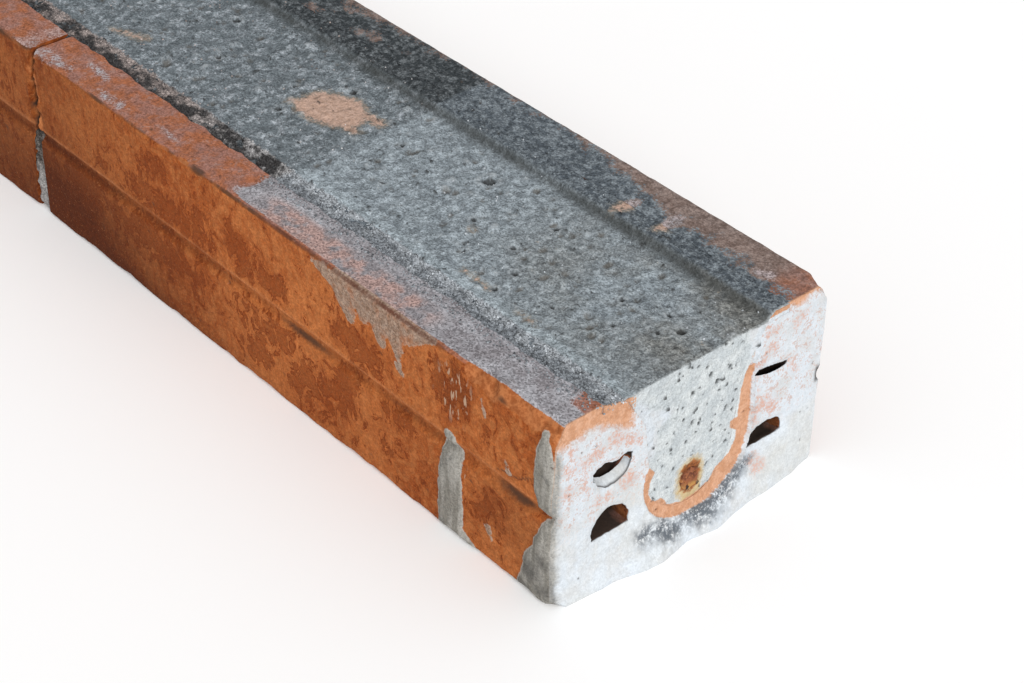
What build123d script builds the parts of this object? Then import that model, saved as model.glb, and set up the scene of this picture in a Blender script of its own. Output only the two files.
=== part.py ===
from build123d import *
import os

# A clay-shell flat lintel: extruded fired-clay shells laid end to end, their trough filled
# with concrete round one reinforcing bar. X runs along the lintel, Y across it, Z up from
# the underside, and the origin is the middle of the underside. All sizes are in millimetres.

# Driving dimensions of the whole lintel
LINTEL_LENGTH = 1000.0
SECTION_WIDTH = 115.0
SECTION_HEIGHT = 71.0
ARRIS_RADIUS = 1.5

# Driving dimensions of one clay shell
SHELL_LENGTH = 284.0
SHORTEST_OFFCUT = 30.0
KEY_HEIGHT = 35.5
KEY_WIDTH = 5.0
KEY_DEPTH = 1.3

# Driving dimensions of the trough that the concrete fills
TROUGH_FLOOR_HEIGHT = 13.0
TROUGH_FLOOR_RADIUS = 18.5
TROUGH_NECK_WIDTH = 43.0
TROUGH_NECK_HEIGHT = 54.0
TROUGH_MOUTH_WIDTH = 59.0
REBATE_WIDTH = 79.0
REBATE_DEPTH = 3.0

# Driving dimensions of the weight-saving cavities, two in each wall of the trough
CAVITY_OFFSET = 34.0
CAVITY_WIDTH = 16.0
CAVITY_HEIGHT = 10.5
CAVITY_SHOULDER = 3.0
CAVITY_CORNER_RADIUS = 0.8
LOWER_CAVITY_FLAT_HEIGHT = 18.7
UPPER_CAVITY_FLAT_HEIGHT = 49.5

# Driving dimensions of the open joints between the shells, which lean
JOINT_TOP_WIDTH = 2.5
JOINT_FOOT_WIDTH = 8.5
JOINT_FILL_HEIGHT = 35.0
JOINT_FILL_RECESS = 1.5

# Driving dimensions of the concrete and its bar
CONCRETE_DROP = 2.5
BAR_DIAMETER = 8.0
BAR_HEIGHT = 22.0

NEAR_END = LINTEL_LENGTH / 2
FAR_END = -LINTEL_LENGTH / 2


def outer_outline():
    """Extruded block with eased arrises and a rounded plaster key along each side."""
    block = Pos(0, SECTION_HEIGHT / 2) * RectangleRounded(SECTION_WIDTH, SECTION_HEIGHT, ARRIS_RADIUS)
    key_radius = (KEY_WIDTH**2 / 4 + KEY_DEPTH**2) / (2 * KEY_DEPTH)
    key_centre = SECTION_WIDTH / 2 - KEY_DEPTH + key_radius
    for side in (-1, 1):
        block -= Pos(side * key_centre, KEY_HEIGHT) * Circle(key_radius)
    return block


def trough_outline():
    """Trough that takes the concrete: round floor, leaning walls, flared mouth, then straight up to the top."""
    spring_height = TROUGH_FLOOR_HEIGHT + TROUGH_FLOOR_RADIUS
    floor = ThreePointArc(
        (-TROUGH_FLOOR_RADIUS, spring_height),
        (0, TROUGH_FLOOR_HEIGHT),
        (TROUGH_FLOOR_RADIUS, spring_height),
    )
    wall = Polyline(
        (TROUGH_FLOOR_RADIUS, spring_height),
        (TROUGH_NECK_WIDTH / 2, TROUGH_NECK_HEIGHT),
        (TROUGH_MOUTH_WIDTH / 2, SECTION_HEIGHT - REBATE_DEPTH),
        (TROUGH_MOUTH_WIDTH / 2, SECTION_HEIGHT),
        (0, SECTION_HEIGHT),
    )
    return make_face(floor + wall + mirror(wall, about=Plane.YZ))


def rebate_outline():
    """Shallow rebate across the top, which leaves a ledge between the trough and each flange."""
    return Pos(0, SECTION_HEIGHT - REBATE_DEPTH / 2) * Rectangle(REBATE_WIDTH, REBATE_DEPTH)


def cavity_outline():
    """D-shaped cavity, drawn with its flat side down on the local X axis."""
    half_width = CAVITY_WIDTH / 2
    sides = Polyline(
        (-half_width, CAVITY_SHOULDER),
        (-half_width, 0),
        (half_width, 0),
        (half_width, CAVITY_SHOULDER),
    )
    crown = ThreePointArc((half_width, CAVITY_SHOULDER), (0, CAVITY_HEIGHT), (-half_width, CAVITY_SHOULDER))
    cavity = make_face(sides + crown)
    flat_corners = cavity.vertices().group_by(Axis.Y)[0]
    return fillet(flat_corners, CAVITY_CORNER_RADIUS)


def shell_outline():
    """Whole section of a clay shell: the block less its trough, its rebate and its four cavities."""
    lower_cavity = cavity_outline()
    upper_cavity = mirror(lower_cavity, about=Plane.XZ)
    section = outer_outline() - trough_outline() - rebate_outline()
    for side in (-1, 1):
        section -= Pos(side * CAVITY_OFFSET, LOWER_CAVITY_FLAT_HEIGHT) * lower_cavity
        section -= Pos(side * CAVITY_OFFSET, UPPER_CAVITY_FLAT_HEIGHT) * upper_cavity
    return section


def run_along(outline, far, near):
    """Extrude a section outline from its far end to its near end along X."""
    return extrude(Plane.YZ.offset(far) * outline, amount=near - far)


def shell_ends():
    """Far and near end of each shell, from the near end of the lintel; the last is cut to fit."""
    ends = []
    near = NEAR_END
    while near > FAR_END:
        far = max(near - SHELL_LENGTH, FAR_END)
        if FAR_END < far < FAR_END + SHORTEST_OFFCUT + JOINT_TOP_WIDTH:
            far = FAR_END + SHORTEST_OFFCUT + JOINT_TOP_WIDTH
        ends.append((far, near))
        near = far - JOINT_TOP_WIDTH
    return ends


def joint_wedge(face):
    """Gap behind a shell's square far end, widening to its foot where the next shell leans away."""
    gap = Polygon(
        (face, 0),
        (face, SECTION_HEIGHT),
        (face - JOINT_TOP_WIDTH, SECTION_HEIGHT),
        (face - JOINT_FOOT_WIDTH, 0),
        align=None,
    )
    return extrude(Plane.XZ * gap, amount=SECTION_WIDTH, both=True)


def clay_shells():
    """Shells in order from the near end; each but the first has its near end cut to the leaning joint."""
    section = shell_outline()
    shells = []
    joint_face = None
    for far, near in shell_ends():
        if joint_face is None:
            shell = run_along(section, far, near)
        else:
            shell = run_along(section, far, joint_face) - joint_wedge(joint_face)
        shells.append(shell)
        joint_face = far
    return shells


def reinforcing_bar():
    """Plain bar through the whole length, cut off flush with both ends of the concrete."""
    return run_along(Pos(0, BAR_HEIGHT) * Circle(BAR_DIAMETER / 2), FAR_END, NEAR_END)


def concrete_core(bar):
    """Concrete cast in the trough round the bar, with a fin where it ran into each open joint."""
    fill_height = SECTION_HEIGHT - CONCRETE_DROP
    below_fill = Pos(0, fill_height / 2) * Rectangle(SECTION_WIDTH, fill_height)
    core = run_along(trough_outline() & below_fill, FAR_END, NEAR_END)
    fin_outline = Pos(0, (JOINT_FILL_RECESS + JOINT_FILL_HEIGHT) / 2) * Rectangle(
        SECTION_WIDTH - 2 * JOINT_FILL_RECESS, JOINT_FILL_HEIGHT - JOINT_FILL_RECESS
    )
    fin_run = run_along(fin_outline, FAR_END, NEAR_END)
    for far, _ in shell_ends()[:-1]:
        core += joint_wedge(far) & fin_run
    return core - bar


steel = reinforcing_bar()
pieces = {"reinforcing_bar": steel, "concrete_core": concrete_core(steel)}
for number, shell in enumerate(clay_shells(), start=1):
    pieces[f"clay_shell_{number}"] = shell

os.makedirs("parts", exist_ok=True)
for node, piece in pieces.items():
    piece.label = node
    export_step(piece, f"parts/{node}.step")
    print(node, len(piece.solids()), round(piece.volume))
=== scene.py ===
import math

import bmesh
import bpy
import numpy as np
from mathutils import Matrix, Vector, geometry, noise


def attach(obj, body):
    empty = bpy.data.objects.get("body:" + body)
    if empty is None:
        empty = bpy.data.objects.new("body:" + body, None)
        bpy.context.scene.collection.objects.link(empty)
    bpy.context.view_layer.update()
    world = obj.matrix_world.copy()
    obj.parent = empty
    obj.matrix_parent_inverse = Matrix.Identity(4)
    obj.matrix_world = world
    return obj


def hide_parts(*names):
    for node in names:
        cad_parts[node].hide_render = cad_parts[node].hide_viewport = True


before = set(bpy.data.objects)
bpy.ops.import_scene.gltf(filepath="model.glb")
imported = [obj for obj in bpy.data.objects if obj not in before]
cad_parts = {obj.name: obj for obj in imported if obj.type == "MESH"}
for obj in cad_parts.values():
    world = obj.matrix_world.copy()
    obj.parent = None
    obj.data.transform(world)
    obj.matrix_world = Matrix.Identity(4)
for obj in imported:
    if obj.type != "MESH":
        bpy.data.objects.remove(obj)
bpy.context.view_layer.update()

# Clay shells
# Four U-shaped shells of red clay, extruded, cut and fired, laid end to end as the mould of the lintel.
# The near one carries the white skim on its end, the mortar runs and the chips; the last is cut short.
# Sizes are millimetres; the near end lies at x = 500 and the photo's orange side is the -Y one.
NEAR_END = 500.0
FAR_END = -500.0
HALF_WIDTH = 57.5
SHELL_HEIGHT = 71.0
ARRIS = 1.5
KEY_HEIGHT = 35.5
KEY_HALF = 3.0
KEY_DEPTH = 1.3
TROUGH_FLOOR = 13.0
TROUGH_RADIUS = 18.5
TROUGH_SPRING = TROUGH_FLOOR + TROUGH_RADIUS
NECK_HALF = 21.5
NECK_HEIGHT = 54.0
MOUTH_HALF = 29.5
REBATE_HALF = 39.5
LEDGE = 68.0
CAVITY_OFFSET = 34.0
CAVITY_HALF = 8.0
LOWER_FLAT = 18.7
UPPER_FLAT = 49.5
JOINT_FACES = (216.0, -73.0, -359.5)
JOINT_TOP = 2.5
JOINT_FOOT = 8.5
# Length of the part behind the near end that pale dust lies on
DUSTED = 162.0
# Depth that stands for no coat at all
NO_COAT = -9.0


def stretch(start, end, step):
    """Points about a step apart on a straight line, without its last point."""
    count = max(1, round(math.dist(start, end) / step))
    share = np.arange(count)[:, None] / count
    return list(map(tuple, np.array(start) + share * (np.array(end) - np.array(start))))


def bend(centre, radius, start, end, count):
    """Points on an arc from one angle to another in degrees, without its last point."""
    turn = np.radians(start + (end - start) * np.arange(count) / count)
    return list(zip(centre[0] + radius * np.cos(turn), centre[1] + radius * np.sin(turn)))


def path(corners, steps):
    """Points along lines from corner to corner, each with its own step, without the last point."""
    return sum((stretch(*line) for line in zip(corners, corners[1:], steps)), [])


def mirrored(half):
    """Other half of a section, in the order that goes on round its loop."""
    return [(-y, z) for y, z in reversed(half)]


def shell_outline(side_step, top_step, hidden_step):
    """Outer loop of a shell's section from the foot of its -Y side, over the top and back underneath."""
    halves = []
    for step in (side_step, hidden_step):
        heights = (ARRIS, KEY_HEIGHT - KEY_HALF, KEY_HEIGHT + KEY_HALF, SHELL_HEIGHT - ARRIS)
        half = path([(-HALF_WIDTH, z) for z in heights], (step, 0.8, step))
        half += bend((-HALF_WIDTH + ARRIS, SHELL_HEIGHT - ARRIS), ARRIS, 180, 90, 3)
        flange = [(-HALF_WIDTH + ARRIS, SHELL_HEIGHT), (-REBATE_HALF, SHELL_HEIGHT), (-REBATE_HALF, LEDGE)]
        trough = [(-MOUTH_HALF, LEDGE), (-NECK_HALF, NECK_HEIGHT), (-TROUGH_RADIUS, TROUGH_SPRING)]
        half += path(flange + trough, (top_step, top_step, hidden_step, hidden_step, hidden_step))
        half += bend((0, TROUGH_SPRING), TROUGH_RADIUS, 180, 270, 12)
        halves.append(half)
    far_half = mirrored(halves[1])[:-1]
    base = bend((HALF_WIDTH - ARRIS, ARRIS), ARRIS, 0, -90, 3)
    base += stretch((HALF_WIDTH - ARRIS, 0), (-HALF_WIDTH + ARRIS, 0), hidden_step)
    base += bend((-HALF_WIDTH + ARRIS, ARRIS), ARRIS, -90, -180, 3)
    loop = np.array(halves[0] + [(0, TROUGH_FLOOR)] + far_half + base)
    on_side = np.abs(np.abs(loop[:, 0]) - HALF_WIDTH) < 0.01
    key = np.clip(1 - ((loop[:, 1] - KEY_HEIGHT) / KEY_HALF) ** 2, 0, 1) * KEY_DEPTH * on_side
    loop[:, 0] -= np.sign(loop[:, 0]) * key
    return loop


def cavity_outline(side, upper):
    """Loop of one weight-saving cavity, a D with its flat down in the lower two and up in the upper two."""
    half = path([(0, 0), (CAVITY_HALF, 0), (CAVITY_HALF, 3)], (1.6, 1.0))
    crown = bend((0, 2.48), 8.02, 4, 176, 18)
    loop = np.array(half + crown + [(-CAVITY_HALF, 3)] + mirrored(half[1:]))
    height = UPPER_FLAT - loop[:, 1] if upper else LOWER_FLAT + loop[:, 1]
    return np.stack([side * CAVITY_OFFSET + loop[:, 0], height], 1)


def leaning_face(face, z):
    """Near end of the shell behind a joint at a height, which leans away from the joint's square face."""
    return face - JOINT_FOOT + (JOINT_FOOT - JOINT_TOP) * z / SHELL_HEIGHT


def inside(points, loops):
    """True for the points that lie inside an odd number of the closed loops."""
    odd = np.zeros(len(points), bool)
    for loop in loops:
        for (y0, z0), (y1, z1) in zip(loop, np.roll(loop, -1, 0)):
            if z0 == z1:
                continue
            crosses = (points[:, 1] < z0) != (points[:, 1] < z1)
            odd ^= crosses & (points[:, 0] < y0 + (points[:, 1] - z0) * (y1 - y0) / (z1 - z0))
    return odd


def fill(loops, step, seed):
    """Points and triangles that fill a section between its loops; the loops' own points come first."""
    ring = np.vstack(loops)
    low, high = ring.min(0), ring.max(0)
    rows = np.meshgrid(np.arange(low[0], high[0], step), np.arange(low[1], high[1], step))
    grid = np.stack(rows, -1).reshape(-1, 2)
    grid += np.random.default_rng(seed).uniform(-0.28, 0.28, grid.shape) * step
    grid = grid[inside(grid, loops)]
    gaps = np.full(len(grid), 99.0)
    for spot in ring:
        gaps = np.minimum(gaps, np.hypot(*(grid - spot).T))
    grid = grid[gaps > 0.5 * step]
    edges = []
    for loop in loops:
        first = len(edges)
        edges += [(first + k, first + (k + 1) % len(loop)) for k in range(len(loop))]
    spots = np.vstack([ring, grid])
    found = geometry.delaunay_2d_cdt([Vector(p) for p in spots], edges, [], 0, 1e-6)
    triangles = np.array([[found[3][v][0] for v in face] for face in found[2]])
    triangles = triangles[inside(spots[triangles].mean(1), loops)]
    return grid, triangles


class Body:
    """Points and faces of a closed body, gathered wall by wall."""

    def __init__(self):
        self.points = np.zeros((0, 3))
        self.faces = []

    def add(self, points):
        """Add points and return their numbers."""
        first = len(self.points)
        self.points = np.vstack([self.points, points])
        return np.arange(first, len(self.points))

    def wall(self, rings):
        """Add rings of equal count, joined by quads, and return the numbers of each ring."""
        count = len(rings[0])
        numbers = self.add(np.vstack(rings)).reshape(len(rings), count)
        row, k = np.meshgrid(numbers[:-1, 0], np.arange(count), indexing="ij")
        a, b = row + k, row + (k + 1) % count
        self.faces += np.stack([a, b, b + count, a + count], -1).reshape(-1, 4).tolist()
        return numbers

    def cap(self, loops, numbers, step, seed, place):
        """Close an end within loops whose points are numbered, and return the numbers of all its points."""
        grid, triangles = fill(loops, step, seed)
        index = np.concatenate([*numbers, self.add(place(grid))])
        self.faces += index[triangles].tolist()
        return index


def cross_section(x, loop):
    """Points of a section's loop at a place along the lintel."""
    return np.column_stack([np.full(len(loop), x), loop])


def ripple(points, size, seed=0, octaves=3):
    """Smooth noise about zero at each point, with waves about the given size in millimetres."""
    shift = Vector((17.3, 31.7, 5.9)) * (seed + 0.37)
    return np.array([noise.fractal(Vector(p) / size + shift, 1.0, 2.0, octaves) for p in points])


def ease(value, low, high):
    """Soft step from 0 at the low value to 1 at the high one."""
    t = np.clip((value - low) / (high - low), 0, 1)
    return t * t * (3 - 2 * t)


def bell(value, middle, width):
    """Soft peak of 1 at the middle, which falls off over the width."""
    return np.exp(-(((value - middle) / width) ** 2))


def strokes_depth(across, up, strokes):
    """Depth in millimetres inside tapered strokes (start, radius, end, radius), negative outside them."""
    best = np.full(len(across), NO_COAT)
    for a0, b0, r0, a1, b1, r1 in strokes:
        run, rise = a1 - a0, b1 - b0
        share = np.clip(((across - a0) * run + (up - b0) * rise) / (run**2 + rise**2), 0, 1)
        gap = np.hypot(across - a0 - share * run, up - b0 - share * rise)
        best = np.maximum(best, r0 + (r1 - r0) * share - gap)
    return best


def ovals_share(across, up, ovals):
    """Strength from 0 to 1 of soft ovals (centre, half width, half height), 1 at their middles."""
    best = np.zeros(len(across))
    for a0, b0, wide, high in ovals:
        best = np.maximum(best, 1 - np.hypot((across - a0) / wide, (up - b0) / high))
    return best


def loop_depth(across, up, loop):
    """Depth in millimetres inside a closed loop, negative outside it."""
    spots = np.stack([across, up], 1)
    loop = np.array(loop, float)
    gap = np.full(len(spots), 99.0)
    for start, end in zip(loop, np.roll(loop, -1, 0)):
        run = end - start
        share = np.clip((spots - start) @ run / (run @ run), 0, 1)
        gap = np.minimum(gap, np.hypot(*(spots - start - share[:, None] * run).T))
    return np.where(inside(spots, [loop]), gap, -gap)


def shave(points, normal, limit):
    """Cut back to a plane all that stands past it, and return how much was cut."""
    normal = np.array(normal) / np.linalg.norm(normal)
    over = np.maximum(points @ normal - limit, 0)
    points -= over[:, None] * normal
    return over


def stand(name, data):
    """New object in the scene."""
    made = bpy.data.objects.new(name, data)
    bpy.context.scene.collection.objects.link(made)
    return made


def solid_piece(name, body, marks):
    """Piece in metres from a body in millimetres, with outward faces and an attribute for each mark."""
    mesh = bpy.data.meshes.new(name)
    mesh.from_pydata(body.points * 0.001, [], body.faces)
    for mark_name, values in marks.items():
        stored = mesh.attributes.new(mark_name, "FLOAT", "POINT")
        stored.data.foreach_set("value", values.astype(np.float32))
    mesh.update()
    held = bmesh.new()
    held.from_mesh(mesh)
    bmesh.ops.recalc_face_normals(held, faces=held.faces)
    held.to_mesh(mesh)
    held.free()
    return stand(name, mesh)


def feed(tree, socket, value):
    """Link a socket to a tone, or set its value."""
    if isinstance(value, Tone):
        tree.links.new(value.socket, socket)
    elif socket.type == "RGBA" and len(value) == 3:
        socket.default_value = (*value, 1)
    else:
        socket.default_value = value


def put(tree, kind, settings=None, **inputs):
    """Add a node, set its properties, feed the inputs that are named, and return its main output."""
    made = tree.nodes.new(kind)
    for key, value in (settings or {}).items():
        setattr(made, key, value)
    for key, value in inputs.items():
        fitting = [s for s in made.inputs if s.enabled and s.name == key.replace("_", " ")]
        feed(tree, fitting[0], value)
    return Tone(tree, next((s for s in made.outputs if s.enabled), None))


class Tone:
    """Value or colour on its way through a node tree, with the sums and coats that finishes are made of."""

    def __init__(self, tree, socket):
        self.tree = tree
        self.socket = socket

    def sums(self, operation, *values):
        made = self.tree.nodes.new("ShaderNodeMath")
        made.operation = operation
        for socket, value in zip(made.inputs, values):
            feed(self.tree, socket, value)
        return Tone(self.tree, made.outputs[0])

    def __add__(self, other):
        return self.sums("ADD", self, other)

    def __sub__(self, other):
        return self.sums("SUBTRACT", self, other)

    def __mul__(self, other):
        return self.sums("MULTIPLY", self, other)

    def __truediv__(self, other):
        return self.sums("DIVIDE", self, other)

    def __rtruediv__(self, other):
        return self.sums("DIVIDE", other, self)

    def greater(self, other):
        """The greater of two values."""
        return self.sums("MAXIMUM", self, other)

    def ramp(self, low, high, most=1.0):
        """Soft step from 0 at the low value to the most at the high one."""
        soft = {"interpolation_type": "SMOOTHSTEP"}
        limits = {"From_Min": low, "From_Max": high, "To_Max": most}
        return put(self.tree, "ShaderNodeMapRange", soft, Value=self, **limits)

    def spread(self, least, most):
        """Straight step from the least at 0 to the most at 1."""
        return put(self.tree, "ShaderNodeMapRange", Value=self, To_Min=least, To_Max=most)

    def ragged(self, rough, amount, soft, most=1.0):
        """Cover of a coat whose depth in millimetres this is, its edge broken by a noise."""
        return (self + rough.spread(-amount, amount)).ramp(-soft, soft, most)

    def between(self, under, over):
        """Colour from the one at 0 to the other at 1."""
        return put(self.tree, "ShaderNodeMix", {"data_type": "RGBA"}, Factor=self, A=under, B=over)

    def coat(self, cover, over):
        """This colour under another one that covers a share of it."""
        return cover.between(self, over)

    def scaled(self, factor):
        """This vector or colour times a value."""
        return put(self.tree, "ShaderNodeVectorMath", {"operation": "SCALE"}, Vector=self, Scale=factor)

    def dim(self, share, least, most):
        """This colour darker or lighter by a factor from least to most with a share from 0 to 1."""
        return self.scaled(share.spread(least, most))

    def axes(self):
        """The three parts of this vector."""
        split = self.tree.nodes.new("ShaderNodeSeparateXYZ")
        feed(self.tree, split.inputs[0], self)
        return [Tone(self.tree, part) for part in split.outputs]


def new_group(name, **kinds):
    """Geometry-node tree with named inputs beside its geometry, and those inputs by name."""
    tree = bpy.data.node_groups.new(name, "GeometryNodeTree")
    for key, kind in {"Geometry": "Geometry", **kinds}.items():
        tree.interface.new_socket(key, in_out="INPUT", socket_type="NodeSocket" + kind)
    tree.interface.new_socket("Geometry", in_out="OUTPUT", socket_type="NodeSocketGeometry")
    return tree, {s.name: Tone(tree, s) for s in tree.nodes.new("NodeGroupInput").outputs}


def end_group(tree, grown, material):
    """End a geometry-node tree in plain mesh with its material."""
    solid = put(tree, "GeometryNodeRealizeInstances", Geometry=grown)
    clad = put(tree, "GeometryNodeSetMaterial", Geometry=solid, Material=material)
    feed(tree, tree.nodes.new("NodeGroupOutput").inputs[0], clad)
    return tree


def named(tree, name):
    """Value of a stored attribute in a geometry-node tree."""
    return put(tree, "GeometryNodeInputNamedAttribute", {"data_type": "FLOAT"}, Name=name)


def keep(tree, shape, domain, name, value):
    """Geometry with a value stored as an attribute."""
    settings = {"data_type": "FLOAT", "domain": domain}
    return put(tree, "GeometryNodeStoreNamedAttribute", settings, Geometry=shape, Name=name, Value=value)


def chance(tree, least, most, seed, kind="FLOAT"):
    """Random value between two for each point."""
    return put(tree, "FunctionNodeRandomValue", {"data_type": kind}, Min=least, Max=most, Seed=seed)


def scatter_points(tree, given, wanted, density):
    """Points strewn over the given surface, dense where its attribute asks for them."""
    dense = named(tree, wanted) * density
    inputs = {"Mesh": given["Geometry"], "Density": dense, "Seed": given["Seed"]}
    return put(tree, "GeometryNodeDistributePointsOnFaces", **inputs)


def weather_tree():
    """Geometry nodes that roughen a surface and sink pores into it where its attributes ask for them."""
    names = ("Coarse Size", "Coarse Height", "Fine Size", "Fine Height")
    names += ("Pore Density", "Pore Least", "Pore Most", "Pore Depth")
    kinds = dict.fromkeys(names, "Float") | {"Seed": "Int", "Material": "Material"}
    tree, given = new_group("weathered_surface", **kinds)
    place = put(tree, "GeometryNodeInputPosition")
    spots = scatter_points(tree, given, "pores", given["Pore Density"])
    radius = chance(tree, given["Pore Least"], given["Pore Most"], given["Seed"])
    on_points = {"domain": "POINT"}
    nearest = put(tree, "GeometryNodeSampleNearest", on_points, Geometry=spots, Sample_Position=place)
    size = put(tree, "GeometryNodeSampleIndex", on_points, Geometry=spots, Value=radius, Index=nearest)
    reach = tree.nodes.new("GeometryNodeProximity")
    reach.target_element = "POINTS"
    feed(tree, reach.inputs[0], spots)
    pit = Tone(tree, reach.outputs["Distance"]).ramp(size * 1.25, size * 0.45)
    rise = None
    for kind in ("Coarse", "Fine"):
        wave = put(tree, "ShaderNodeTexNoise", Vector=place, Scale=1.0 / given[kind + " Size"], Detail=3.0)
        lift = (wave - 0.5) * given[kind + " Height"]
        rise = lift if rise is None else rise + lift
    rise = rise * named(tree, "relief") - pit * size * given["Pore Depth"]
    shift = put(tree, "GeometryNodeInputNormal").scaled(rise)
    # The pore shape is kept as an attribute too, and the materials paint shade into it
    kept = keep(tree, given["Geometry"], "POINT", "pit", pit)
    moved = put(tree, "GeometryNodeSetPosition", Geometry=kept, Offset=shift)
    return end_group(tree, moved, given["Material"])


def grow(piece, tree, **inputs):
    """Run a geometry-node tree on a piece with its named inputs and keep the result as the piece's mesh."""
    added = piece.modifiers.new("grown", "NODES")
    added.node_group = tree
    for item in tree.interface.items_tree:
        key = item.name.replace(" ", "_")
        if item.in_out == "INPUT" and key in inputs:
            added[item.identifier] = inputs[key]
    graph = bpy.context.evaluated_depsgraph_get()
    grown = bpy.data.meshes.new_from_object(piece.evaluated_get(graph))
    grown.name = piece.name
    piece.modifiers.remove(added)
    piece.data = grown
    grown.shade_smooth()
    grown.set_sharp_from_angle(angle=math.radians(50))


def mark(tree, name):
    """Value of a stored attribute in a material."""
    made = tree.nodes.new("ShaderNodeAttribute")
    made.attribute_name = name
    return Tone(tree, made.outputs["Fac"])


def object_place(tree):
    """Place on the piece in its own frame."""
    return Tone(tree, tree.nodes.new("ShaderNodeTexCoord").outputs["Object"])


def grain(tree, size, detail=3.0, roughness=0.5, distortion=0.0, squash=(1, 1, 1), shift=0.0):
    """Noise in object space from 0 to 1, its waves about the given size in millimetres."""
    moved = {"Location": (shift, -shift, 0.7 * shift), "Scale": squash}
    place = put(tree, "ShaderNodeMapping", Vector=object_place(tree), **moved)
    waves = {"Scale": 1000 / size, "Detail": detail, "Roughness": roughness, "Distortion": distortion}
    return put(tree, "ShaderNodeTexNoise", Vector=place, **waves)


def grit(tree, size):
    """Random value from 0 to 1 for each grain of about the given size in millimetres."""
    cells = tree.nodes.new("ShaderNodeTexVoronoi")
    feed(tree, cells.inputs["Vector"], object_place(tree))
    feed(tree, cells.inputs["Scale"], 1000 / size)
    return put(tree, "ShaderNodeSeparateColor", Color=Tone(tree, cells.outputs["Color"]))


def matt(name, colour_of):
    """Rough material whose colour and height come from a function of its node tree."""
    made = bpy.data.materials.new(name)
    made.use_nodes = True
    tree = made.node_tree
    shader = tree.nodes["Principled BSDF"]
    shader.inputs["Roughness"].default_value = 0.88
    shader.inputs["Specular IOR Level"].default_value = 0.12
    colour, height, depth = colour_of(tree)
    feed(tree, shader.inputs["Base Color"], colour)
    bump = put(tree, "ShaderNodeBump", Strength=0.8, Distance=depth, Height=height)
    feed(tree, shader.inputs["Normal"], bump)
    return made


def raw_clay(small, grains):
    """Clean broken clay, as the bare band and the bare corner of the near end show it."""
    return small.ramp(0.36, 0.64).between((0.46, 0.235, 0.132), (0.56, 0.318, 0.205)).dim(grains, 0.9, 1.08)


def white_skim(mid):
    """Bluish white of the skim on the near end."""
    return mid.ramp(0.38, 0.66).between((0.565, 0.605, 0.645), (0.53, 0.545, 0.555))


def smeared_cement(near, small, grains):
    """Smeared cement, black far off and slate grey in the dusted part."""
    black = small.ramp(0.42, 0.72).between((0.033, 0.039, 0.043), (0.16, 0.175, 0.185))
    slate = small.ramp(0.38, 0.66).between((0.066, 0.079, 0.092), (0.195, 0.222, 0.243))
    return near.between(black, slate).dim(grains, 0.55, 1.45)


def stained_clay(tree, fine, small, mid, broad, streak, grains):
    """Fired clay of the sides with dark-rimmed stains, painted shade low down, far off and in the key
    groove with some dark patches, a painted highlight over the key, and scratches.
    """
    blot = grain(tree, 6.6, 6.0, 0.64, 1.5, (1, 1, 0.72))
    drip = grain(tree, 3.4, 4.0, 0.65, 0.0, (1, 1, 0.3))
    scuff = grain(tree, 1.5, 2.0, 0.5, 0.0, (1, 1, 0.3))
    clay = broad.ramp(0.36, 0.64).between((0.295, 0.073, 0.0155), (0.405, 0.124, 0.033))
    clay = clay.coat(streak.ramp(0.5, 0.8, 0.35), (0.25, 0.060, 0.015))
    clay = clay.coat(mid.ramp(0.5, 0.75, 0.4), (0.28, 0.070, 0.018))
    tide = blot + mark(tree, "stain") * 0.28 + (drip * 0.2 - 0.1)
    clay = clay.coat(tide.ramp(0.54, 0.42, 0.48), (0.47, 0.168, 0.052))
    rim = tide.ramp(0.60, 0.612, 0.95) * tide.ramp(0.685, 0.64)
    wet = tide.ramp(0.60, 0.68, 0.58).greater(rim) * small.ramp(0.2, 0.56)
    clay = clay.coat(wet, (0.165, 0.030, 0.004))
    # Painted shade towards the foot, the far end and in the key groove, with some dark patches
    clay = clay.coat(mark(tree, "shade_and_dark_patches"), (0.080, 0.017, 0.004))
    # Painted highlight along the upper edge of the key groove
    clay = clay.coat(mark(tree, "key_highlight"), (0.54, 0.215, 0.085))
    clay = clay.dim(grains, 0.82, 1.18).dim(small.ramp(0.28, 0.72), 0.83, 1.15)
    clay = clay.coat(fine.ramp(0.58, 0.72, 0.36), (0.55, 0.24, 0.105))
    clay = clay.coat(fine.ramp(0.43, 0.29, 0.5), (0.17, 0.044, 0.014))
    scrape = mark(tree, "scratch") * scuff.ramp(0.58, 0.64, 0.8)
    return clay.coat(scrape, (0.47, 0.33, 0.23))


def flange_clay(tree, small, mid, grains):
    """Worn clay on top of the flanges: redder on the -Y one, dull and brown on the +Y one."""
    flange = mid.ramp(0.38, 0.62).between((0.335, 0.120, 0.058), (0.29, 0.142, 0.110))
    flange = flange.coat(small.ramp(0.50, 0.72, 0.6), (0.34, 0.225, 0.200)).dim(grains, 0.68, 1.3)
    flange = flange.coat(small.ramp(0.44, 0.30, 0.8), (0.13, 0.052, 0.035))
    dull = small.ramp(0.36, 0.64).between((0.125, 0.099, 0.089), (0.25, 0.205, 0.186)).dim(grains, 0.7, 1.3)
    return flange.coat(mark(tree, "dull").ramp(0.0, 1.0, 0.95), dull)


def pale_dust(tree, small, mid, grains):
    """Grey cement dust, pink where the clay shows through."""
    dust = mid.ramp(0.36, 0.64).between((0.215, 0.215, 0.232), (0.335, 0.34, 0.365))
    rosy = mark(tree, "pink") * mid.ramp(0.34, 0.60)
    dust = dust.coat(rosy.ramp(0.0, 1.0, 0.85), (0.37, 0.235, 0.205))
    return dust.coat(small.ramp(0.42, 0.30, 0.55), (0.115, 0.108, 0.112)).dim(grains, 0.55, 1.5)


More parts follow.
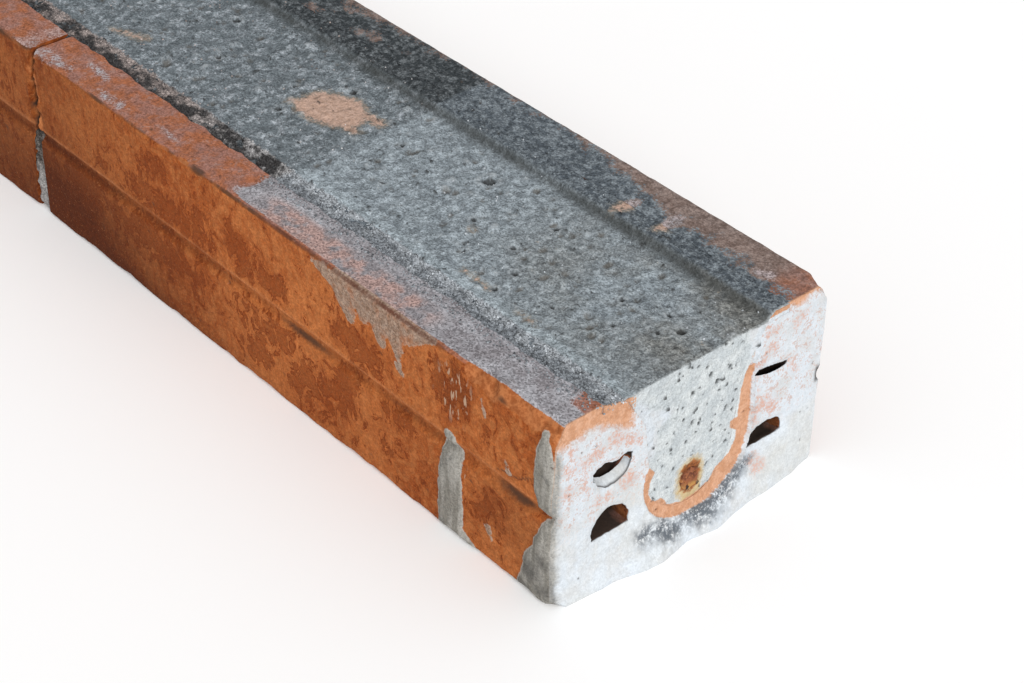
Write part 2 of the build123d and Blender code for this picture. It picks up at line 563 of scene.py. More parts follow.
def thin_slurry(tree, small, grains):
    """Slurry that ran down from the top, paler along its edge."""
    slurry = small.ramp(0.36, 0.64).between((0.23, 0.153, 0.108), (0.31, 0.236, 0.186))
    slurry = slurry.dim(grains, 0.68, 1.36)
    return slurry.coat(mark(tree, "slurry").ramp(0.55, 0.1, 0.6), (0.42, 0.32, 0.25))


def run_mortar(tree, mid, streak, grains):
    """Streaky grey mortar, grimy at the near foot and pale along its edge."""
    mortar = streak.ramp(0.34, 0.66).between((0.195, 0.184, 0.160), (0.315, 0.302, 0.274))
    mortar = mortar.coat(mid.ramp(0.56, 0.68, 0.6), (0.12, 0.118, 0.11))
    mortar = mortar.coat(mark(tree, "grimy").ramp(0.0, 1.0, 0.7), (0.075, 0.072, 0.066))
    return mortar.coat(mark(tree, "mortar").ramp(0.9, 0.2, 0.5), (0.43, 0.40, 0.36)).dim(grains, 0.78, 1.2)


def dirty_skim(tree, small, mid, broad, grains, patchy, mortar):
    """White skim with specks, pink blotches, soot below the trough and mortar at the -Y corner."""
    peppered = small + grains * 0.25
    speck = mark(tree, "speckled") * peppered.ramp(0.63, 0.80)
    skim = white_skim(mid).coat(speck.ramp(0.0, 1.0, 0.8), (0.42, 0.30, 0.262))
    skim = skim.coat(broad.ramp(0.50, 0.64, 0.4), (0.50, 0.49, 0.45))
    rosy = mark(tree, "blush").ragged(patchy, 5.0, 1.5, 0.8) * peppered.ramp(0.42, 0.72)
    skim = skim.coat(rosy, (0.50, 0.30, 0.24))
    soot = mark(tree, "smudge").ragged(mid + grains * 0.35, 3.4, 5.0) * peppered.ramp(0.95, 0.45)
    skim = skim.coat(soot.ramp(0.0, 0.85, 0.92), (0.085, 0.099, 0.117))
    skim = skim.coat(mark(tree, "wrap").ramp(0.0, 1.0, 0.85), mortar)
    return skim.dim(grains, 0.91, 1.07).dim(small.ramp(0.28, 0.72), 0.93, 1.06)


def clay_colour(tree):
    """Fired clay with stains, then what lies on it: dust, cement, mortar and the white skim."""
    fine = grain(tree, 0.9, 3.0, 0.7)
    small = grain(tree, 2.4, 4.0, 0.68)
    mid = grain(tree, 7.0, 4.0, 0.6)
    broad = grain(tree, 40.0, 4.0, 0.55)
    streak = grain(tree, 2.2, 3.0, 0.6, 0.0, (1, 1, 0.14))
    grains = grit(tree, 0.55)
    patchy = mid * 0.8 + grains * 0.2
    facing = Tone(tree, tree.nodes.new("ShaderNodeNewGeometry").outputs["Normal"])
    upward = facing.axes()[2].ramp(0.55, 0.9)
    clay = stained_clay(tree, fine, small, mid, broad, streak, grains)
    clay = clay.coat(upward.ramp(0.0, 1.0, 0.95), flange_clay(tree, small, mid, grains))
    chip = small.ramp(0.38, 0.64).between((0.27, 0.080, 0.024), (0.47, 0.170, 0.060))
    clay = clay.coat(mark(tree, "chip").ramp(0.15, 0.5), chip)
    # Painted shade in the key groove and painted shadow along the upper arris, with the dark line of a
    # crack
    shade_and_crack_share = mark(tree, "dirt") + (small - 0.5)
    clay = clay.coat(shade_and_crack_share.ramp(0.15, 0.85, 0.85), (0.06, 0.033, 0.021))
    clay = clay.coat(mark(tree, "dust").ragged(patchy, 4.0, 1.6, 0.93), pale_dust(tree, small, mid, grains))
    cement = smeared_cement(mark(tree, "near"), small, grains)
    clay = clay.coat(mark(tree, "cement").ragged(patchy, 12.0, 1.4), cement)
    thin = mark(tree, "slurry").ragged(small, 2.2, 0.3) * mid.ramp(0.15, 0.55, 0.92)
    clay = clay.coat(thin, thin_slurry(tree, small, grains))
    # Painted shadow along the upper arris, laid over the slurry
    clay = clay.coat(mark(tree, "seam") * fine.ramp(0.3, 0.5), (0.10, 0.034, 0.021))
    mortar = run_mortar(tree, mid, streak, grains)
    clay = clay.coat(mark(tree, "mortar").ragged(small, 0.8, 0.2), mortar)
    clay = clay.coat(mark(tree, "end"), raw_clay(small, grains))
    film = mid.ramp(0.36, 0.64).between((0.46, 0.495, 0.51), (0.55, 0.58, 0.585)).dim(grains, 0.85, 1.1)
    clay = clay.coat(mark(tree, "film").ragged(fine, 0.6, 0.2), film)
    fray = mark(tree, "fray")
    frayed = mark(tree, "skim") + (patchy - 0.5) * (fray * 8.0 + 1.0)
    skim = dirty_skim(tree, small, mid, broad, grains, patchy, mortar)
    clay = clay.coat((frayed / (fray * 1.6 + 0.2)).ramp(-1.0, 1.0), skim)
    # Painted shade inside the cavities and on the joint faces between shells
    clay = clay.coat(mark(tree, "recess_shade"), (0.040, 0.029, 0.023))
    # Painted shade in the pores
    clay = clay.coat(mark(tree, "pit").ramp(0.0, 1.0, 0.7), (0.06, 0.045, 0.035))
    return clay, fine + small, 0.0003


# White coat on the near end: where it bulges past the end at its foot, and how far
BULGE_PLACES = (-58, -50, -40, -33, -23, -16, -9, -3, 3, 9, 16, 25, 37, 46, 54, 58)
BULGE_REACH = (1.0, 1.4, 2.4, 2.6, 5.4, 6.0, 4.8, 3.8, 4.8, 6.0, 4.4, 3.2, 3.0, 2.0, 0.5, 0.0)
# Tapered strokes of mortar and slurry on the -Y side, along from the near end and up
MORTAR_RUNS = (
    (-48.0, 38.4, 3.2, -47.0, 34.5, 4.6), (-47.0, 34.5, 4.6, -47.8, 18.0, 6.0),
    (-47.8, 18.0, 6.0, -47.4, -3.0, 6.2), (-44.0, 2.0, 4.0, -34.0, -3.0, 2.8),
    (-5.0, 66.4, 1.2, -4.6, 60.0, 3.4), (-4.6, 60.0, 3.4, -4.2, 44.0, 5.0),
    (-4.2, 44.0, 5.0, -3.2, 39.6, 4.2), (0.5, 37.0, 1.2, -0.5, 30.0, 5.6),
    (-0.5, 30.0, 5.6, -1.0, 12.0, 12.0), (-1.0, 12.0, 12.0, -1.0, -3.0, 15.8),
)
SLURRY_RUNS = (
    (-116.0, 69.0, 0.8, -104.0, 66.5, 3.6), (-104.0, 66.5, 3.6, -98.0, 60.0, 3.6),
    (-98.0, 60.0, 3.8, -97.5, 57.0, 2.2), (-100.0, 69.0, 6.5, -70.0, 68.5, 6.5),
    (-92.0, 66.0, 5.0, -90.0, 61.0, 2.2), (-84.0, 64.0, 5.0, -81.0, 56.5, 2.4),
    (-75.0, 64.0, 5.0, -73.0, 55.5, 2.0), (-70.0, 68.5, 6.5, -56.0, 71.0, 1.5),
    (-73.0, 52.0, 1.4, -71.0, 49.0, 1.0), (-22.0, 45.0, 0.9, -20.5, 42.0, 0.7),
    (-33.0, 62.0, 0.8, -32.0, 57.0, 0.6), (-30.0, 14.0, 1.2, -28.0, 10.0, 0.6),
)
CRACK = ((-26, 40.5, 0.5, -17, 42, 0.6), (-17, 42, 0.6, -8, 47.5, 0.5))
# Soft ovals on the -Y side, along and up: grime on the mortar, stains, painted shade in the key groove and
# along the arris, dark places and scratches
GRIME = ((-9, 11, 9, 8), (-4, 17, 7, 5), (-12, 3, 6, 4), (-2, 6, 5, 6))
STAINS = (
    (-206, 59, 10, 8), (-182, 48, 8, 14), (-156, 50, 12, 13), (-205, 45, 45, 10), (-95, 47, 20, 11),
    (-140, 47, 13, 8), (-212, 26, 40, 13), (-142, 26, 26, 11), (-106, 22, 20, 11), (-255, 28, 30, 12),
    (-122, 16, 20, 16), (-150, 12, 14, 9), (-100, 30, 11, 10), (-72, 30, 12, 7), (-79, 14, 5, 4),
    (-47, 58, 13, 16), (-32, 20, 7, 9),
)
GROOVE_SHADE = ((-18, 35.0, 13, 3.6), (-14, 35.0, 9, 3.0), (-122, 34.3, 22, 2.2))
ARRIS_SHADE = ((-180, 70.6, 8, 2.0), (-24, 67.0, 3.0, 1.6))
DARK_PLACES = ((-46, 59, 11, 14), (-20, 25, 20, 16))
SCRATCHED = ((-46, 57, 11, 13), (-43, 29, 4, 6))
# Pale dust on the -Y flange beyond the dusted part, and clods on the +Y flange, along and across
FLANGE_DUST = (
    (-284, -54.0, 3.4, -264, -53.5, 2.4), (-262, -46.0, 1.6, -250, -47.0, 2.0),
    (-246, -53.5, 2.2, -232, -53.0, 2.8), (-212, -50.0, 0.8, -200, -52.0, 1.0),
)
CLODS = (
    (-248, 40.5, 1.4, -243, 41.0, 2.0), (-221, 43.0, 3.0, -214, 45.0, 3.4),
    (-197, 46.0, 1.0, -195, 47.0, 0.8), (-235, 50.0, 0.8, -233, 51.0, 0.8),
    (-73, 38.0, 2.4, -72, 42.0, 2.2), (-56, 39.0, 2.0, -55, 45.0, 2.4), (-18, 44.0, 1.0, -14, 46.0, 1.2),
)
# Where the smeared cement of the +Y flange ends, along and across
CEMENT_PLACES = (-345, -225, -195, -125, -100, -60, -30, 0)
CEMENT_EDGE = (54, 54, 57, 57, 54, 47, 44.5, 42)
# Bare clay round the trough on the near end, across and up: its outer edge, then its nibbled inner one
BAND_OUTER = (
    (26.8, 55.0), (25.2, 50.0), (24.7, 46.0), (25.0, 42.0), (25.9, 36.0), (25.0, 28.0), (23.2, 20.5),
    (20.2, 15.4), (14.0, 11.8), (7.0, 9.9), (0.0, 9.3), (-6.0, 10.1), (-11.0, 11.7), (-14.5, 14.4),
    (-17.2, 17.5), (-19.6, 23.2), (-20.6, 29.0), (-19.8, 34.0), (-18.2, 35.8),
)
BAND_INNER = (
    (-15.4, 32.4), (-17.4, 29.0), (-17.9, 25.0), (-15.6, 20.4), (-12.0, 20.2), (-10.2, 18.0), (-9.0, 15.8),
    (-3.0, 13.7), (3.0, 13.7), (6.0, 14.4), (9.4, 16.0), (11.4, 19.2), (15.0, 21.0), (18.0, 22.6),
    (20.4, 27.0), (20.4, 30.4), (17.4, 32.8), (17.2, 35.2), (20.2, 36.2), (20.8, 46.0), (22.2, 52.0),
    (23.8, 55.0),
)
BAND = BAND_OUTER + BAND_INNER
ABOVE_BAND = ((30.0, 71.5), (-29.5, 71.5), (-28.5, 66.0), (-20.0, 54.0), (-18.0, 37.0))
# Foot of the bare corner over the -Y wall of the trough, across and up
CORNER_PLACES = (-58, -50, -44, -38, -32, -27)
CORNER_FOOT = (63, 63.5, 63.6, 62, 58.6, 57.5)
# Pink blotches and soot on the white coat of the near end, across and up
BLUSHES = (
    (-52, 53.5, 2.0, -47, 52, 2.2), (-42, 54, 2.2, -40, 53, 1.6), (-53, 45.5, 2.4, -53, 44.5, 1.8),
    (-29, 36.5, 2.8, -25, 35, 2.4), (-40, 35, 1.4, -34, 34.5, 1.2), (-34, 56, 1.6, -24, 50, 1.2),
    (-52, 60, 1.2, -51, 57, 0.8), (-45, 40, 0.8, -46, 48, 0.8), (28, 53, 1.4, 34, 57, 1.8),
    (31, 64.5, 1.8, 34, 63.5, 1.4), (32, 36, 3.0, 36, 32, 2.6), (28, 16, 1.8, 31, 11, 2.4),
    (44, 62, 1.0, 48, 64, 0.8), (43, 46, 1.2, 46, 42, 1.2), (28.5, 48, 0.6, 28.0, 30, 0.8),
)
SOOT = (
    (-21, 10.5, 1.4, -12, 9.0, 2.6), (-12, 8.0, 2.4, -6, 7.0, 1.6), (-3, 7.8, 2.4, 8, 8.4, 3.6),
    (8, 8.4, 3.6, 15, 10.6, 3.2), (15, 10.6, 3.2, 24, 14.6, 2.2),
)
# Cavity mouths of the near end, from the mouth inwards: share of the height that is left open
MOUTH_DEPTHS = (0.0, 0.35, 0.9, 1.7, 2.8, 4.6, 8.0, 14.0)
SLIT = (0.25, 0.27, 0.33, 0.42, 0.55, 0.75, 1.0, 1.0)
LUMP = (1.0, 1.0, 0.95, 0.86, 0.75, 0.95, 1.0, 1.0)
LUMP_PLACES = (-8.0, -6.5, -3.0, 0.6, 2.4, 4.8, 6.8, 8.0)
LUMP_DROPS = (2.2, 1.0, 0.0, 1.0, 1.5, 0.5, 0.3, 1.4)
LUMP_TOP = 43.8
LOW_MOUTH = (0.69, 0.70, 0.71, 0.78, 0.88, 1.0, 1.0, 1.0)
LOW_MOUTH_HEIGHT = 22.5
# Marks that a shell carries: depths of coats, and shares from 0 to 1
COATS = ("mortar", "slurry", "skim", "film", "dust", "cement", "blush", "smudge")
SHARES = ("chip", "dirt", "stain", "shade_and_dark_patches", "seam", "key_highlight", "pink", "dull", "scratch", "fray", "speckled")
SHARES += ("near", "wrap", "grimy", "relief", "pores", "end", "crumbs")


def key_and_arris_shade(points, y, z, dark, reach, seed):
    """Painted shade of the -Y side in the plaster key, and a painted shadow line along the upper arris."""
    key_shade = (0.22 + 0.3 * ripple(points, 25, seed)) * bell(z, KEY_HEIGHT - 0.6, 1.2)
    arris_line_shade = (dark + 0.5 * ripple(points, 12, seed + 1)) * ease(reach - np.hypot(y + 57.0, z - 70.5), 0, 0.5)
    return key_shade, arris_line_shade


def in_rebate(y, z):
    """True on the ledges and low walls of the rebates, which cement smears cover."""
    beside = (np.abs(y) > MOUTH_HALF - 0.5) & (np.abs(y) < REBATE_HALF + 0.4)
    return beside & (z > LEDGE - 1) & (z < LEDGE + 2)


def shape_near_shell(points, u, y, z, waver, on_end, mouth):
    """Lay the coats on the near shell and break its edges; return the depths of coats and chips."""
    side = y < -HALF_WIDTH + 2
    chipped = ripple(points, 3.2, 9)
    mortar = np.where(side, strokes_depth(u, z, MORTAR_RUNS) + 0.7 * waver, NO_COAT)
    mortar = np.where((z < 1) & (u > -20) & (y < -35), 1.5, mortar)
    slurry = np.where(side, strokes_depth(u, z, SLURRY_RUNS) + 0.8 * waver, NO_COAT)
    points[:, 1] -= np.where(side, 0.9 * ease(mortar, -0.1, 1.6) + 0.25 * ease(slurry, -0.2, 0.8), 0)
    band = loop_depth(y, z, BAND) + 0.25 * ripple(points, 2.5, 2)
    film = loop_depth(y, z, BAND_INNER + ABOVE_BAND)
    corner = z - np.interp(y, CORNER_PLACES, CORNER_FOOT) + 1.4 * ripple(points, 6, 3)
    bare_corner = np.minimum(corner, -26.5 - y + 0.8 * ripple(points, 5, 4))
    bare_top = np.minimum(z - 69.4 + 1.4 * ripple(points, 6, 5), y - 33)
    skim = -np.maximum(np.maximum(band, film), np.maximum(bare_corner, bare_top))
    skim = np.where(on_end, skim, NO_COAT)
    lip = np.where(on_end & (skim > 0) & (band > -4), np.where(y > 0, 1.3, 0.5), 0)
    coat = 0.7 * ease(skim, -0.3, 0.8) + lip * ease(2.4 - skim, 0, 2.4) * ease(skim, 0, 0.6)
    coat -= 0.7 * ease(2.0 - mouth, 0, 2)
    points[:, 0] += np.where(on_end, coat, 0)
    bulge = np.interp(y, BULGE_PLACES, BULGE_REACH) * bell(np.maximum(z, 0), 0, 8.0)
    points[:, 0] += bulge * ease(u, -5, 0)
    broken = 83.2 + 9.0 * (1 - ease(u, -52, -38)) + 1.5 * ripple(points, 7, 7) - 0.9 * ease(u, -12, -2)
    chip = shave(points, (0, -0.857, 0.514), broken + 0.5 * chipped)
    for tilt in (22.5, 45.0, 67.5):
        edge = np.array((math.cos(math.radians(tilt)), -math.sin(math.radians(tilt)), 0))
        rounding = 3.0 * (edge[0] - edge[1] - 1)
        shave(points, edge, edge @ (NEAR_END + 0.7, -HALF_WIDTH - 0.6, 0) - rounding + 0.25 * waver)
    chip = np.maximum(chip, shave(points, (0, -0.75, 0.66), 89.35 + 0.9 * ripple(points, 9, 8)))
    far_corner = 0.35 * NEAR_END + 0.75 * HALF_WIDTH + 0.56 * SHELL_HEIGHT
    chip = np.maximum(chip, shave(points, (0.35, 0.75, 0.56), far_corner - 3.0 + waver))
    chip = np.maximum(chip, shave(points, (0, 0.7, 0.7), 90.3 + 0.25 * ripple(points, 14, 10)))
    shave(points, (0, -0.7, -0.7), 39.7 + 1.1 * ripple(points, 16, 44))
    worn = shave(points, (0.5, -0.62, -0.6), 0.5 * NEAR_END + 0.62 * HALF_WIDTH - 1.3 + 0.5 * waver)
    mortar = np.where((worn > 0) & ~on_end, 1.5, mortar)
    lump = bell(u, -25, 3.4) * bell(y, -55, 3.0) * bell(z, 69, 3.4)
    points += lump[:, None] * np.array((0.0, -0.9, 2.3))
    chip = np.maximum(chip, 1.6 * lump)
    shave(points, (0.6, 0.7, -0.4), 0.6 * NEAR_END + 0.7 * HALF_WIDTH - 1.6 + 0.6 * waver)
    inner = bell(y, -REBATE_HALF, 1.4) * (z > LEDGE + 0.5)
    points[:, 1] += inner * (1.2 * ripple(points, 8, 12) - 0.4) * (1 - ease(u, -7, -2))
    torn = ease(-u, 280.5, 283.9) * ease(-y, 49, 57) * ease(z, 30, 38)
    points[:, 0] += torn * (0.3 + 2.2 * ripple(points, 6, 13))
    points[:, 1] += torn * np.maximum(-0.5, 0.3 + 2.0 * ripple(points, 5, 14))
    chip = np.maximum(chip, torn * (0.25 + 1.3 * ripple(points, 5, 15)))
    mortar = np.where(on_end, 2.0, mortar)
    film = np.where(on_end, film, NO_COAT)
    return {"mortar": mortar, "slurry": slurry, "skim": skim, "film": film, "chip": chip}


def near_side_marks(points, u, y, z):
    """Painted shade in the key, along the arris, low down and far off, a painted highlight over the key, a
    crack, stains, dark patches and scratches on the sides of the near shell.
    """
    side = y < -HALF_WIDTH + 2
    flank = np.abs(y) > HALF_WIDTH - 2
    key_shade, arris_line_shade = key_and_arris_shade(points, y, z, 0.5, 0.95, 17)
    arris_line_shade *= 1 - 0.6 * ease(u, -56, -44)
    # Painted shadow line along the upper arris, laid again over the slurry
    seam = (0.75 + 0.4 * ripple(points, 15, 42)) * ease(0.9 - np.hypot(y + 57.0, z - 70.6), 0, 0.5)
    seam *= ease(u, -152, -140) * (1 - ease(u, -58, -46))
    # Painted shade in the key groove, along the arris and under the lump near the end; then the crack
    dirt = np.maximum(ovals_share(u, z, GROOVE_SHADE), ovals_share(u, z, ARRIS_SHADE))
    dirt = np.maximum(dirt, np.maximum(key_shade, arris_line_shade))
    dirt = np.maximum(dirt, ease(strokes_depth(u, z, CRACK), -0.4, 0.4) * 0.7) * side
    # Painted shade in the +Y key groove near the end
    dirt = np.maximum(dirt, np.where(y > 55, ovals_share(u, z, ((-4, KEY_HEIGHT, 30, 5),)), 0))
    # Painted shade towards the foot and the far end, with some dark patches
    shade_and_dark_patches = 0.13 * ease(-z, -48, -4) + 0.66 * ease(-u, 130, 290) * ease(-z, -52, -6)
    shade_and_dark_patches += 0.44 * ease(-u, 160, 290)
    shade_and_dark_patches += 0.24 * ease(-z, -9, -1) * ease(-u, 60, 200)
    shade_and_dark_patches += 0.24 * ease(ovals_share(u, z, DARK_PLACES), 0.0, 0.6)
    # Painted shade in the key groove on both flanks
    groove_shade = (0.36 + 0.25 * ripple(points, 30, 19)) * bell(z, KEY_HEIGHT - 0.8, 1.7)
    # Painted highlight along the upper edge of the key groove
    key_highlight = flank * (0.45 + 0.35 * ripple(points, 20, 20)) * bell(z, KEY_HEIGHT + 2.9, 0.75)
    return {
        "dirt": dirt,
        "stain": np.where(side, ovals_share(u, z, STAINS), 0.2),
        "shade_and_dark_patches": shade_and_dark_patches * side + flank * groove_shade,
        "seam": np.clip(seam, 0, 0.85),
        "key_highlight": np.clip(key_highlight, 0, 1),
        "scratch": np.where(side, np.minimum(1, 2.2 * ovals_share(u, z, SCRATCHED)), 0),
        "grimy": np.where(side, ovals_share(u, z, GRIME), 0),
    }


def near_top_marks(u, y, z, waver):
    """Dust, clods and smeared cement on top of the near shell."""
    top = z > SHELL_HEIGHT - 0.4
    pink = ease(-y, 43, 49) * ease(u, -160, -140) * (1 - ease(u, -75, -55))
    bare = np.maximum(ease(u, -12, -5) * (1 - ease(-y, 44, 49)), ease(-y, 54.8, 56.6))
    dust = np.clip(u + DUSTED + 1.2 * waver, -8, 5) - 9 * bare
    dust = np.maximum(dust, np.minimum(strokes_depth(u, y, FLANGE_DUST) - 1.5, -0.4))
    dust = np.where((z > LEDGE + 1) & (y < 0), dust, NO_COAT)
    clods = np.minimum(strokes_depth(u, y, CLODS) + 0.7 * waver, np.where(u < -150, -0.5, 0.6))
    smear = np.minimum(np.interp(u, CEMENT_PLACES, CEMENT_EDGE) - y, 6) - 13 * ease(clods, -2.2, 1.6)
    return {
        "pink": np.where(y > 0, 0.5 * ease(u, -240, -215), pink),
        "dust": np.where(top & (y > 0), clods, dust),
        "cement": np.where(in_rebate(y, z), 9.0, np.where(top & (y > 0), smear, NO_COAT)),
        "dull": np.where(y > 0, 1.0 - 0.6 * ease(u, -20, -6), 0.0),
        "near": ease(u, -DUSTED - 0.4, -DUSTED + 0.6),
        "crumbs": np.where(top & (y < 0), ease(u, -DUSTED - 2, -DUSTED + 4) * ease(y, -46.5, -43), 0),
    }


def near_end_marks(y, z, waver, on_end):
    """Blotches, soot and frayed edges on the white coat of the near end."""
    corner_fray = ease(-y, 24, 27) * ease(z, 52, 57)
    return {
        "blush": np.where(on_end, strokes_depth(y, z, BLUSHES), NO_COAT),
        "smudge": np.where(on_end, strokes_depth(y, z, SOOT), NO_COAT),
        "fray": np.where(on_end, corner_fray + 0.5 * ease(y, 28, 32) * ease(z, 60, 66), 0),
        "speckled": np.where(on_end, ease(z, 20, 34), 0.0),
        "wrap": (1 - ease(y + HALF_WIDTH - 0.8 * waver, 0.3, 3.4)) * (1 - ease(z, 58, 66)),
        "pores": np.where(on_end, 0.35, 0.2),
        "end": on_end.astype(float),
    }


def near_shell_marks(points, on_end, mouth):
    """Shape the near shell's chips, runs and coat, and return its marks."""
    u, y, z = points[:, 0] - NEAR_END, points[:, 1].copy(), points[:, 2].copy()
    waver = ripple(points, 6, 1)
    marks = shape_near_shell(points, u, y, z, waver, on_end, mouth)
    relief = np.where(on_end, 1.7, 1.0 + ease(marks["mortar"], -0.2, 0.4))
    marks["relief"] = relief + 1.2 * ease(marks["chip"], 0.2, 1.0)
    marks |= near_side_marks(points, u, y, z)
    marks |= near_top_marks(u, y, z, waver)
    return marks | near_end_marks(y, z, waver, on_end)


def plain_shell_marks(points, face):
    """Shape a shell behind the near one, with chips at its joint, and return its marks."""
    y, z = points[:, 1].copy(), points[:, 2].copy()
    behind = leaning_face(face, z) - points[:, 0]
    torn = ease(-behind, -4, -0.1) * ease(-y, 49, 57) * ease(z, 30, 38)
    points[:, 0] -= torn * (0.1 + 1.6 * ripple(points, 7, 33))
    points[:, 1] += torn * np.maximum(-0.5, 0.2 + 1.6 * ripple(points, 6, 34))
    chip = torn * (0.1 + 1.0 * ripple(points, 5, 35))
    chip = np.maximum(chip, shave(points, (0, -0.75, 0.66), 89.35 + 0.9 * ripple(points, 9, 36)))
    shave(points, (0, 0.7, 0.7), 90.3 + 0.25 * ripple(points, 14, 37))
    shave(points, (0, -0.7, -0.7), 39.7 + 1.1 * ripple(points, 16, 45))
    inner = bell(y, -REBATE_HALF, 1.6) * (z > LEDGE + 0.5)
    points[:, 1] += inner * (1.2 * ripple(points, 8, 38) - 0.4)
    side = y < -HALF_WIDTH + 2
    flank = np.abs(y) > HALF_WIDTH - 2
    top = z > SHELL_HEIGHT - 0.4
    # Painted shade towards the foot and near the joint face, strongest on the second shell; painted shade
    # in the key groove and a painted highlight above it
    shade_strength = np.interp(face, (-360, -73, 216), (0.3, 0.45, 1.0))
    shade_and_dark_patches = shade_strength * np.where(side, 0.42 + 0.42 * ease(-z, -52, -6), 0) * ease(-behind, -240, -60)
    key_shade, arris_line_shade = key_and_arris_shade(points, y, z, 0.62, 1.4, 39)
    return {
        "chip": chip,
        "dirt": np.where(side, np.maximum(key_shade, arris_line_shade), 0),
        "stain": np.full(len(points), 0.12),
        "shade_and_dark_patches": shade_and_dark_patches + flank * 0.34 * bell(z, KEY_HEIGHT - 0.8, 1.7),
        "key_highlight": flank * 0.42 * bell(z, KEY_HEIGHT + 2.9, 0.9),
        "dust": np.where(top & (y < 0), 0.5 - 0.16 * behind + 2.0 * ripple(points, 9, 41), NO_COAT),
        "pink": np.ones(len(points)),
        "dull": np.where(y > 0, 1.0, 0.0),
        "cement": np.where(in_rebate(y, z), 9.0, np.where(top & (y > 0), 55 - y, NO_COAT)),
        "relief": 1 + 1.2 * ease(chip, 0.2, 1.0),
        "pores": np.full(len(points), 0.2),
    }


def mouth_rings(full, side, upper, length):
    """Rings of a near-end cavity from its mouth inwards, with the mouth's height cut and its rim uneven."""
    squeeze = (1.0,) * len(MOUTH_DEPTHS)
    fixed = UPPER_FLAT if upper else LOWER_FLAT
    if upper:
        squeeze = SLIT if side > 0 else LUMP
    elif side > 0:
        squeeze, fixed = LOW_MOUTH, LOW_MOUTH_HEIGHT
    uneven = ripple(cross_section(0, full), 3.0, 16)
    middle = full.mean(0)
    rings = []
    for depth, share in zip(MOUTH_DEPTHS, squeeze):
        loop = full.copy()
        loop[:, 1] = fixed + (loop[:, 1] - fixed) * share
        mouthward = 1 - ease(depth, 3, 10)
        if upper and side > 0:
            loop[:, 1] += 1.2 * (1 - share) - 0.17 * (loop[:, 0] - 27) * mouthward
        elif upper:
            wavy = np.interp(loop[:, 0] - middle[0], LUMP_PLACES, LUMP_DROPS)
            loop[:, 1] -= mouthward * (1.7 + wavy * ease(loop[:, 1], 42.0, UPPER_FLAT))
        arm = loop - middle
        reach = np.maximum(np.hypot(*arm.T), 1e-6)[:, None]
        loop += arm / reach * (0.8 * uneven * (1 - ease(depth, 0.5, 6)) * min(1.0, share + 0.2))[:, None]
        rings.append((depth, loop))
    return rings + [(length - 3, full), (length, full)]


def shell_body(outline, depths, far, near_at, near_shell, end_step):
    """Body of one shell; its near-end points, their gaps to the mouths, its painted shade in the cavities
    and its plugged points.
    """
    body = Body()
    length = near_at(SHELL_HEIGHT) - far

    def place(loop, share):
        near = near_at(loop[:, 1])
        return np.column_stack([near - share * (near - far), loop])

    skin = body.wall([place(outline, depth / length) for depth in depths])
    near_loops, far_loops = [outline], [outline]
    near_numbers, far_numbers = [skin[0]], [skin[-1]]
    mouths = []
    for side in (-1, 1):
        for upper in (False, True):
            full = cavity_outline(side, upper)
            rings = [(0.0, full), (6.0, full), (length - 3, full), (length, full)]
            if near_shell:
                rings = mouth_rings(full, side, upper, length)
            numbers = body.wall([place(loop, depth / length) for depth, loop in rings])
            for ring, (depth, loop) in zip(numbers, rings):
                plugged = near_shell and upper and side < 0 and 0.6 < depth < 4
                white = (loop[:, 1] < LUMP_TOP) * 1.0 * plugged
                beside = loop[:, 0] - full[:, 0].mean()
                # Painted shade deeper in each mouth, taken back as painted light where light reaches in,
                # none on the white plug
                lit = 0.5 * ease(beside, 5, 7) * (depth < 5) * (not upper)
                lit = lit + 0.5 * ease(-beside, -1, 5) * (depth < 9) * (upper and side > 0)
                dark = (ease(depth, -0.6, 0.6) * (0 < depth < length) * 0.97 - lit) * (1 - white)
                mouths.append((ring, dark, np.maximum(white, 1.0 * (near_shell and 0.2 < depth < 0.5))))
            near_loops.append(rings[0][1])
            far_loops.append(full)
            near_numbers.append(numbers[0])
            far_numbers.append(numbers[-1])
    near_cap = body.cap(near_loops, near_numbers, end_step, 5, lambda grid: place(grid, 0.0))
    body.cap(far_loops, far_numbers, 4.0, 5, lambda grid: place(grid, 1.0))
    on_end = np.zeros(len(body.points), bool)
    on_end[near_cap] = True
    recess_shade, plug = np.zeros(len(on_end)), np.zeros(len(on_end))
    for ring, dark, white in mouths:
        recess_shade[ring], plug[ring] = dark, white
    mouth = np.full(len(on_end), 99.0)
    for spot in np.vstack(near_loops[1:]):
        mouth[on_end] = np.minimum(mouth[on_end], np.hypot(*(body.points[on_end, 1:] - spot).T))
    return body, on_end, mouth, recess_shade, plug


